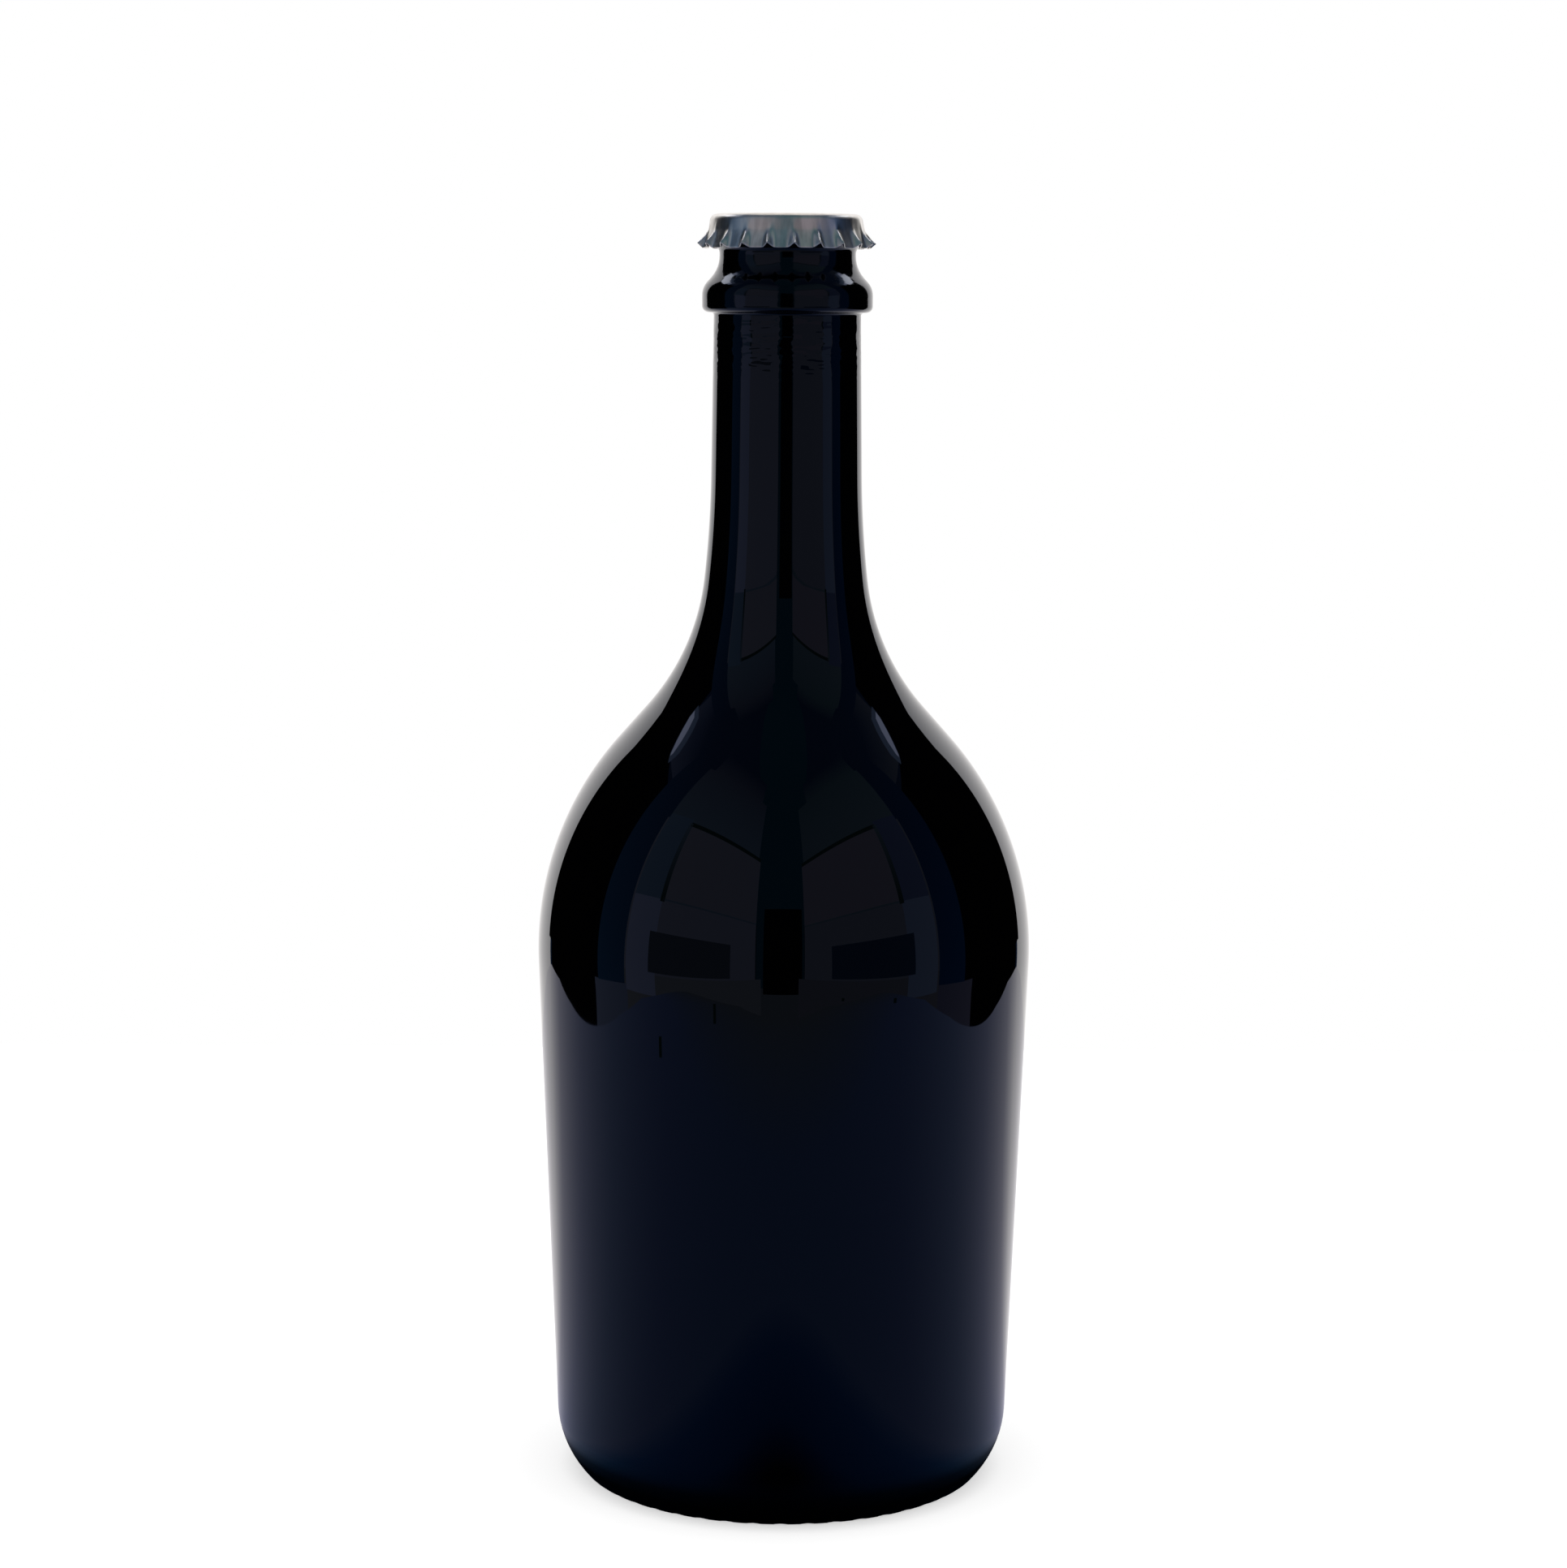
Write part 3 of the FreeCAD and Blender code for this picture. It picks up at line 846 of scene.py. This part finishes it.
@dataclass
class CrownCap:
    """The steel cap with its flared, fluted skirt, as it is before it is pressed on."""

    lip_radius: float = 0.0143
    sheet: float = 0.00025
    play: float = 0.0004
    shift: float = 0.0003
    turn: float = 5.0
    corner: float = 0.0014
    wall_lean: float = 8.0
    wall_height: float = 0.00295
    flute_count: int = 21
    flute_sharpness: float = 4.5
    fold: float = 0.00013
    flare_bend: float = 1.3
    panel_reach: float = 0.0013
    panel_drop: float = 0.00365
    ridge_reach: float = 0.0024
    ridge_drop: float = 0.0027
    columns_per_flute: int = 20
    rows: int = 12
    wall_rows: int = 5
    rim_round: float = 0.0001
    rim_rows: int = 2
    rim_over: float = 60.0
    smooth_under: float = 50.0

    def build(self, finish: bpy.types.Material) -> bpy.types.Object:
        """Press one flute, repeat it round the cap, give it its thickness and dress it.

        Args:
            finish: The steel's material.

        Returns:
            The finished piece, which stands for the node "crown_cap".
        """
        piece = self._draw_flute_blank()
        self._press_flute(piece)
        self._repeat_flute(piece)
        self._place(piece)
        self._thicken(piece)
        bpy.ops.object.shade_smooth_by_angle(angle=math.radians(self.smooth_under))
        piece.data.materials.append(finish)
        return piece

    @property
    def wall(self) -> list[tuple[float, float]]:
        """The radius and height of the wall's rows, between the corner and the skirt.

        Returns:
            One pair for each row, from the top one down.
        """
        lean = math.radians(self.wall_lean)
        start = self.corner * (1 - math.sin(lean))
        outer = self.lip_radius + self.play + self.sheet
        rows = []
        for row in range(self.wall_rows + 1):
            drop = (self.wall_height - start) * row / self.wall_rows
            rows.append((outer + drop * math.tan(lean), -start - drop))
        return rows

    def _skirt(self, reach: float, drop: float) -> list[tuple[float, float]]:
        """The radius and height of each row of the skirt below the wall.

        Args:
            reach: How far the skirt flares.
            drop: How high the skirt is.

        Returns:
            One pair for each row, from the top one down.
        """
        radius, height = self.wall[-1]
        straight = drop * math.tan(math.radians(self.wall_lean))
        rows = []
        for row in range(1, self.rows + 1):
            part = row / self.rows
            flare = straight * part + (reach - straight) * part**self.flare_bend
            rows.append((radius + flare, height - drop * part))
        return rows

    def _panel(self) -> list[tuple[float, float]]:
        """The radius and height of the rows half-way between two ridges."""
        return self.wall[1:] + self._skirt(self.panel_reach, self.panel_drop)

    def _ridge(self) -> list[tuple[float, float]]:
        """The radius and height of the rows on a ridge, which starts as a faint fold of the wall.

        Returns:
            One pair for each row, from the top one down.
        """
        rising = [self.fold * row / self.wall_rows for row in range(1, self.wall_rows + 1)]
        fading = [self.fold * (1 - row / self.rows) for row in range(1, self.rows + 1)]
        rows = self.wall[1:] + self._skirt(self.ridge_reach, self.ridge_drop)
        return [(radius + fold, height) for (radius, height), fold in zip(rows, rising + fading)]

    def _draw_flute_blank(self) -> bpy.types.Object:
        """Draw the section between two ridges and spin it over one flute's width.

        Returns:
            The smooth blank.
        """
        pen = OutlinePen("cap_steel", 0, 0)
        pen.straight(self.wall[0][0] - self.corner * math.cos(math.radians(self.wall_lean)))
        pen.bend(self.corner, -UP + self.wall_lean)
        for radius, height in self._panel():
            step = Vector((radius, 0, height)) - pen.place
            pen.straight(step.length, math.degrees(math.atan2(step.z, step.x)))
        return pen.spin(self.columns_per_flute, FULL_TURN / self.flute_count)

    def _press_flute(self, piece: bpy.types.Object) -> None:
        """Swing the rows out to the ridges, which are the blank's two sides.

        Args:
            piece: The smooth blank.
        """
        step = FULL_TURN / self.flute_count / self.columns_per_flute
        bpy.ops.object.mode_set(mode="EDIT")
        for column in range(self.columns_per_flute // 2):
            swing = (1 + math.cos(FULL_TURN * column / self.columns_per_flute)) / 2
            share = swing**self.flute_sharpness
            for (radius, height), (out, lifted) in zip(self._panel(), self._ridge()):

                def on_row(place: Vector) -> bool:
                    """Whether a vertex is on this row, this many columns from a ridge.

                    Args:
                        place: The vertex's place.

                    Returns:
                        True if it has to be moved.
                    """
                    away = abs(math.atan2(place.y, place.x)) / step
                    away = min(away, self.columns_per_flute - away)
                    level = abs(place.z - height) < TOUCHING and place.x > self.lip_radius / 2
                    return level and abs(away - column) < HALF_COLUMN

                choose_points(piece, on_row)
                wider = (radius + (out - radius) * share) / radius
                bpy.ops.transform.resize(value=(wider, wider, 1), center_override=(0, 0, 0))
                bpy.ops.transform.translate(value=(0, 0, (lifted - height) * share))
        bpy.ops.object.mode_set(mode="OBJECT")
        LOG.info("cap: flute of %d vertices pressed", len(piece.data.vertices))

    def _repeat_flute(self, piece: bpy.types.Object) -> None:
        """Repeat the flute round the axis.

        Args:
            piece: The pressed flute.
        """
        bpy.ops.object.mode_set(mode="EDIT")
        bpy.ops.mesh.select_all(action="SELECT")
        others = self.flute_count - 1
        angle = FULL_TURN * others / self.flute_count
        bpy.ops.mesh.spin(steps=others, angle=angle, center=(0, 0, 0), axis=(0, 0, 1), dupli=True)
        close_mesh()
        bpy.ops.object.mode_set(mode="OBJECT")

    def _place(self, piece: bpy.types.Object) -> None:
        """Turn one ridge towards the front, and lay the cap on the lip where the frame has it.

        Args:
            piece: The whole cap, about the axis.
        """
        _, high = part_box("crown_cap")
        piece.rotation_euler.z = math.radians(self.turn - UP)
        piece.location = (-self.shift, 0, high.z)
        choose_only(piece)
        bpy.ops.object.transform_apply(location=True, rotation=True, scale=False)

    def _thicken(self, piece: bpy.types.Object) -> None:
        """Give the sheet its thickness inwards, and round the cut rim.

        Args:
            piece: The cap in its place.
        """
        solidify = piece.modifiers.new("thickness", "SOLIDIFY")
        solidify.thickness = self.sheet
        solidify.offset = -1
        solidify.use_even_offset = True
        bpy.ops.object.modifier_apply(modifier=solidify.name)
        bevel = piece.modifiers.new("rim", "BEVEL")
        bevel.width = self.rim_round
        bevel.segments = self.rim_rows
        bevel.limit_method = "ANGLE"
        bevel.angle_limit = math.radians(self.rim_over)
        bpy.ops.object.modifier_apply(modifier=bevel.name)


# ---- The studio ------------------------------------------


@dataclass(frozen=True)
class Palette:
    """Where the cards of one side stand, in degrees from the front, and what they glow with."""

    inner: float
    seam: float
    outer: float
    flag: float
    window_from: float
    window_to: float
    panel: Colour
    foot: Colour
    step: Colour
    frame: Colour
    strip: Colour
    upper: Colour
    peak: Colour
    window: Colour
    curtain: Colour
    skirting: Colour
    over_flag: Colour


PALETTES = {
    Side.LEFT: Palette(
        inner=12.5,
        seam=58.5,
        outer=74.5,
        flag=91.5,
        window_from=23.5,
        window_to=62.0,
        panel=(0.267, 0.254, 0.294),
        foot=(0.229, 0.221, 0.218),
        step=(0.333, 0.346, 0.466),
        frame=(0.271, 0.247, 0.274),
        strip=(0.156, 0.218, 0.294),
        upper=(0.156, 0.199, 0.240),
        peak=(0.111, 0.120, 0.160),
        window=(0.080, 0.090, 0.104),
        curtain=(0.027, 0.082, 0.160),
        skirting=(0.200, 0.227, 0.320),
        over_flag=(0.111, 0.128, 0.200),
    ),
    Side.RIGHT: Palette(
        inner=9.0,
        seam=56.5,
        outer=72.0,
        flag=88.5,
        window_from=21.0,
        window_to=60.0,
        panel=(0.209, 0.204, 0.230),
        foot=(0.177, 0.164, 0.176),
        step=(0.233, 0.273, 0.374),
        frame=(0.257, 0.218, 0.246),
        strip=(0.124, 0.145, 0.240),
        upper=(0.137, 0.178, 0.194),
        peak=(0.096, 0.145, 0.154),
        window=(0.033, 0.055, 0.094),
        curtain=(0.007, 0.046, 0.126),
        skirting=(0.147, 0.138, 0.200),
        over_flag=(0.111, 0.122, 0.154),
    ),
}


@dataclass(frozen=True)
class Card:
    """An upright card round the table, which only gloss sees.

    The card faces the bottle from an azimuth, at a distance. It spans from one azimuth to another
    and from one height to another. Azimuths are in degrees from the front, positive to the right.
    """

    name: str
    facing: float
    distance: float
    first: float
    last: float
    low: float
    high: float
    glow: Colour
    top: Colour | None = None

    def on(self, side: Side) -> "Card":
        """Stand a card of the right side on either side of the studio.

        Args:
            side: The side.

        Returns:
            The card there.
        """
        first, last = sorted((self.first * side.value, self.last * side.value))
        return replace(
            self,
            name=f"{self.name}_{side.name.lower()}",
            facing=self.facing * side.value,
            first=first,
            last=last,
        )

    def build(self) -> bpy.types.Object:
        """Stand the card up.

        Returns:
            The card's object.
        """
        turn = math.radians(self.facing)
        start, end = (
            self.distance * math.tan(math.radians(edge - self.facing))
            for edge in (self.first, self.last)
        )
        deselect_everything()
        bpy.ops.mesh.primitive_plane_add(size=1)
        card = bpy.context.object
        card.name = self.name
        card.scale = (end - start, self.high - self.low, 1)
        card.rotation_euler = Euler((math.radians(UP), 0, turn))
        middle = (start + end) / 2
        card.location = (
            self.distance * math.sin(turn) + middle * math.cos(turn),
            -self.distance * math.cos(turn) + middle * math.sin(turn),
            (self.low + self.high) / 2,
        )
        card.data.materials.append(glowing(self.name, self.glow, self.top or self.glow))
        seen_by_gloss_only(card)
        return card


def glowing(name: str, low: Colour, high: Colour) -> bpy.types.Material:
    """A material that glows, from one colour at its foot to another at its top.

    Args:
        name: The material's name.
        low: The glow at the foot.
        high: The glow at the top.

    Returns:
        The material, which isn't sampled as a lamp.
    """
    material, sheet = new_material(name)
    colour = sheet.ramp(sheet.spread(sheet.along("Y"), (-0.5, 0.5)), ((0.0, low), (1.0, high)))
    shader = sheet.add("ShaderNodeEmission", {"Color": colour, "Strength": 1.0})
    sheet.add("ShaderNodeOutputMaterial", {"Surface": shader.outputs[0]})
    material.cycles.emission_sampling = "NONE"
    return material


def seen_by_gloss_only(card: bpy.types.Object) -> None:
    """Hide a card from everything but reflections, and keep it off the object.

    Args:
        card: The card's object.
    """
    card.visible_camera = False
    card.visible_diffuse = False
    card.visible_transmission = False
    card.visible_shadow = False


@dataclass
class Studio:
    """The table, the cards round it, the lamp, the surrounding light and the camera."""

    table_side: float = 0.405
    table_front: float = 0.410
    table_fade: float = 0.270
    table_back: float = 0.400
    table_glow: float = 0.56
    table_white: Colour = grey(0.8)
    # Painted light: the table's glow, seen only in gloss, grows paler towards the backdrop as if
    # lit from behind.
    painted_table_light: Stops = (
        (0.000, (0.100, 0.142, 0.250)),
        (0.200, (0.138, 0.170, 0.305)),
        (0.435, (0.225, 0.270, 0.420)),
        (0.630, (0.360, 0.380, 0.540)),
        (0.790, (0.570, 0.560, 0.670)),
        (0.870, (1.000, 0.970, 1.000)),
    )
    # A painted shadow that the bottle seems to cast forwards on the table, an ellipse about this
    # centre, seen only in gloss.
    painted_shadow_centre: tuple[float, float, float] = (0.0, -0.065, 0.0)
    painted_shadow_narrowing: tuple[float, float, float] = (1.5, 1.0, 1.0)
    painted_shadow: Stops = (
        (0.009, (0.01, 0.01, 0.01)),
        (0.021, (0.02, 0.09, 0.22)),
        (0.038, (0.05, 0.34, 0.56)),
        (0.078, (0.24, 0.56, 0.78)),
        (0.105, WHITE),
    )
    # A painted contact shadow in a ring round the bottle's foot, seen only in gloss.
    painted_foot_shadow: Stops = (
        (0.0458, (0.01, 0.01, 0.01)),
        (0.0485, (0.45, 0.41, 0.36)),
        (0.0530, (0.88, 0.86, 0.82)),
        (0.0640, WHITE),
    )
    lamp_place: tuple[float, float, float] = (0.0, -0.1, 1.3)
    lamp_size: tuple[float, float] = (1.2, 0.9)
    lamp_power: float = 5.0
    plain_level: float = 0.6
    seam_half: float = 1.2
    surround: Colour = (0.023, 0.046, 0.094)
    teal: Colour = (0.016, 0.078, 0.102)
    floor: Colour = (0.156, 0.158, 0.158)
    black: Colour = (0.001, 0.001, 0.001)
    dim: Colour = (0.027, 0.051, 0.040)
    white: Colour = (1.14, 1.11, 1.10)
    ceiling: Colour = (0.98, 0.92, 0.87)
    hot: Colour = (3.349, 3.380, 3.588)
    warm: Colour = (1.310, 1.352, 1.674)
    halo: Colour = (0.233, 0.297, 0.431)

    def build(self) -> None:
        """Set up the whole studio."""
        self._lay_table()
        for card in self._cards():
            card.build()
        self._hang_ceiling()
        self._hang_lamp()
        self._surround()
        View().build()

    def _cards(self) -> list[Card]:
        """List the cards of both sides and the ones in the middle.

        Returns:
            The cards, not yet built.
        """
        cards = [
            Card("backdrop", 180, 0.75, 137.5, 222.5, -0.30, 1.35, self.white),
            Card("slot", 0, 0.95, -30, 30, -0.04, 1.10, self.teal),
            Card("slot_top", -1, 0.95, -20, 17, 1.10, 1.90, self.teal),
            Card("floor", 0, 1.00, -45, 45, -0.60, -0.03, self.floor),
            Card("camera_place", -0.5, 0.80, -9, 8, -0.045, 0.38, self.black),
            Card("stand_far_left", -55.5, 0.365, -56.2, -54.8, 0, 0.006, self.dim),
            Card("stand_left", -30, 0.400, -30.6, -29.4, 0, 0.012, self.dim),
            Card("stand_right", 26, 0.477, 25.4, 26.6, 0, 0.007, self.dim),
            Card("stand_far_right", 50, 0.440, 49.3, 50.7, 0, 0.010, self.dim),
        ]
        for side in Side:
            cards += [card.on(side) for card in self._side_cards(PALETTES[side])]
        return cards

    def _side_cards(self, at: Palette) -> list[Card]:
        """List the cards of the right side.

        Args:
            at: Where they stand and what they glow with.

        Returns:
            The cards, not yet built.
        """
        seam = (at.seam - self.seam_half, at.seam + self.seam_half)
        past_flag = at.flag + 0.5
        return [
            Card("panel", 50, 0.550, at.inner, at.outer + 1, 0.04, 0.60, at.panel),
            Card("panel_foot", 50, 0.550, at.inner - 2.5, at.outer + 1, -0.40, 0.04, at.foot),
            Card("frame", 50, 0.545, at.inner, at.seam, 0.27, 0.59, at.frame),
            Card("strip", 50, 0.545, at.seam, at.outer, 0.27, 0.62, at.strip),
            Card("step", 50, 0.545, at.seam, at.outer, -0.02, 0.27, at.step),
            Card("window", 50, 0.540, at.window_from, at.window_to, 0.048, 0.168, at.window),
            Card("seam_upright", 50, 0.535, *seam, 0.26, 0.59, self.dim, at.upper),
            Card("seam_level", 50, 0.535, at.inner, at.seam, 0.572, 0.594, self.dim),
            Card("seam_foot", 50, 0.535, at.inner, at.seam, 0.264, 0.270, at.upper),
            Card("bar", 0, 0.780, at.inner - 0.2, at.inner + 1.2, -0.050, 0.290, self.black),
            Card("upper", 50, 0.550, at.inner + 1, at.outer, 0.60, 1.10, at.upper, at.peak),
            Card("peak", 50, 0.560, 17, 70, 1.10, 1.45, at.peak, self.surround),
            Card("curtain", 87, 0.60, at.outer, past_flag, -0.005, 1.15, at.curtain, self.surround),
            Card("skirting", 80, 0.60, 66, 96, -0.50, -0.005, at.skirting),
            Card("flag", 115, 0.58, at.flag, 121, 0.03, 0.72, self.black),
            Card("flag_back", 115, 0.58, 120, 137.8, 0.03, 0.67, self.black),
            Card("flag_foot", 115, 0.58, at.flag, 134, -0.02, 0.03, self.black),
            Card("flag_hem", 115, 0.58, at.flag, 130, -0.50, -0.02, self.black),
            Card("over_flag", 100, 0.60, 82, 108, 0.74, 1.05, at.over_flag, self.surround),
            Card("halo", 115, 0.575, 105, 138, 0.70, 0.86, self.halo),
            Card("warm_strip", 115, 0.57, 108.5, 119, 0.70, 0.78, self.warm),
            Card("hot_strip", 115, 0.57, 119, 137.8, 0.66, 0.785, self.hot),
        ]

    def _lay_table(self) -> None:
        """Lay the table, white to the eye, and to gloss a glow with painted light and painted
        shadow.
        """
        deselect_everything()
        bpy.ops.mesh.primitive_plane_add(size=1)
        table = bpy.context.object
        table.name = "table"
        bpy.ops.object.mode_set(mode="EDIT")
        bpy.ops.transform.resize(value=(2 * self.table_side, self.table_front + self.table_back, 1))
        bpy.ops.transform.translate(value=(0, (self.table_back - self.table_front) / 2, 0))
        bpy.ops.object.mode_set(mode="OBJECT")
        table.data.materials.append(self._table_material())

    def _table_material(self) -> bpy.types.Material:
        """Make the table white with a soft shadow for the eye, and painted light and shadow for
        gloss.

        Returns:
            The material, which isn't sampled as a lamp.
        """
        material, sheet = new_material("table")
        # The gloss glow carries the table's painted light and painted shadows.
        graded = sheet.add("ShaderNodeEmission", {"Color": self._grading(sheet), "Strength": 1.0})
        glow = {"Color": opaque(WHITE), "Strength": self.table_glow}
        white = sheet.add("ShaderNodeEmission", glow)
        lit = sheet.add("ShaderNodeBsdfDiffuse", {"Color": opaque(self.table_white)})
        for_eye = sheet.add("ShaderNodeAddShader", {0: white.outputs[0], 1: lit.outputs[0]})
        plain = sheet.choose("Is Camera Ray", lit.outputs[0], for_eye.outputs[0])
        chosen = sheet.choose("Is Glossy Ray", plain, graded.outputs[0])
        sheet.add("ShaderNodeOutputMaterial", {"Surface": chosen})
        material.cycles.emission_sampling = "NONE"
        return material

    def _grading(self, sheet: NodeSheet) -> bpy.types.NodeSocket:
        """Paint the table's gloss glow: paler light to the back, painted shadow at the foot, floor
        in front.

        Args:
            sheet: The material's sheet.

        Returns:
            The colour.
        """
        flat = sheet.vector("MULTIPLY", sheet.place(), (1.0, 1.0, 0.0)).outputs[0]
        reach = sheet.vector("LENGTH", flat).outputs["Value"]
        depth = sheet.add("ShaderNodeSeparateXYZ", {0: flat}).outputs["Y"]
        behind = sheet.spread(sheet.sum_of("DIVIDE", depth, reach), (-1.0, 1.0))
        narrowed = sheet.vector("MULTIPLY", flat, self.painted_shadow_narrowing).outputs[0]
        away = sheet.vector("DISTANCE", narrowed, self.painted_shadow_centre).outputs["Value"]
        # The painted shadows: the bottle's forward shadow and its contact shadow at the foot.
        painted_shadows = (sheet.ramp(away, self.painted_shadow), sheet.ramp(reach, self.painted_foot_shadow))
        shaded = sheet.mix("MULTIPLY", 1.0, *painted_shadows)
        # Painted light, paler towards the back, darkened by the painted shadows.
        graded = sheet.mix("MULTIPLY", 1.0, sheet.ramp(behind, self.painted_table_light), shaded)
        near = sheet.spread(depth, (-self.table_front, -self.table_fade))
        return sheet.mix("MIX", near, opaque(self.floor), graded)

    def _hang_ceiling(self) -> None:
        """Hang what lies over the table: the backdrop's top, and the slot's in front."""
        sheets = {
            "backdrop_top": ((0, 0.375, 1.10), (0.68, 0.75, 1), self.ceiling),
            "slot_roof": ((-0.02, -0.55, 1.90), (0.66, 0.80, 1), self.teal),
        }
        for name, (place, size, glow) in sheets.items():
            deselect_everything()
            bpy.ops.mesh.primitive_plane_add(size=1, location=place)
            sheet = bpy.context.object
            sheet.name = name
            sheet.scale = size
            sheet.data.materials.append(glowing(name, glow, glow))
            seen_by_gloss_only(sheet)

    def _hang_lamp(self) -> None:
        """Hang one large soft lamp over the table, which gloss doesn't see."""
        deselect_everything()
        bpy.ops.object.light_add(type="AREA", location=self.lamp_place)
        lamp = bpy.context.object
        lamp.name = "overhead"
        lamp.data.shape = "RECTANGLE"
        lamp.data.size, lamp.data.size_y = self.lamp_size
        lamp.data.energy = self.lamp_power
        lamp.visible_glossy = False

    def _surround(self) -> None:
        """White all round for the camera, dim for gloss and a plain level for the rest."""
        world = bpy.data.worlds.new("surround")
        bpy.context.scene.world = world
        world.use_nodes = True
        sheet = NodeSheet(world.node_tree)
        white, level, dim = (
            sheet.add("ShaderNodeBackground", {"Color": opaque(colour), "Strength": strength})
            for colour, strength in ((WHITE, 1.0), (WHITE, self.plain_level), (self.surround, 1.0))
        )
        plain = sheet.choose("Is Camera Ray", level.outputs[0], white.outputs[0])
        chosen = sheet.choose("Is Glossy Ray", plain, dim.outputs[0])
        sheet.add("ShaderNodeOutputWorld", {"Surface": chosen})


@dataclass(frozen=True)
class View:
    """The camera: its place in front of the bottle's axis, its pitch, its roll and its lens."""

    aside: float = -0.00024
    distance: float = 0.7056
    eye_height: float = 0.2365
    pitch: float = 7.84
    roll: float = 0.33
    lens: float = 82.03
    sensor: float = 36.0

    def build(self) -> None:
        """Make the camera and hand it to the scene."""
        camera = bpy.data.cameras.new("camera")
        camera.sensor_fit = "HORIZONTAL"
        camera.sensor_width = self.sensor
        camera.lens = self.lens
        holder = bpy.data.objects.new("camera", camera)
        bpy.context.scene.collection.objects.link(holder)
        level = Euler((math.radians(UP - self.pitch), 0, 0)).to_matrix()
        turned = level @ Matrix.Rotation(math.radians(self.roll), 3, "Z")
        holder.rotation_euler = turned.to_euler()
        holder.location = (self.aside, -self.distance, self.eye_height)
        bpy.context.scene.camera = holder


# ---- The order of work -----------------------------------


def hand_over(piece: bpy.types.Object, node: str) -> None:
    """Let a finished piece stand for its CAD node.

    Args:
        piece: The finished piece.
        node: The node that it replaces.
    """
    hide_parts(node)
    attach(piece, "root")
    triangles = sum(len(face.vertices) - 2 for face in piece.data.polygons)
    LOG.info("%s stands for %s, with %d triangles", piece.name, node, triangles)


def main() -> None:
    """Build the studio and the object's pieces, and hand the pieces over."""
    logging.basicConfig(level=logging.INFO, format="%(name)s: %(message)s")
    bpy.context.scene.view_settings.view_transform = "Standard"
    Studio().build()
    effects = Effects()
    hand_over(Bottle().build(BlackGlass().material(effects)), "bottle")
    hand_over(CrownCap().build(SilverSteel().material(effects)), "crown_cap")


if __name__ == "__main__":
    main()
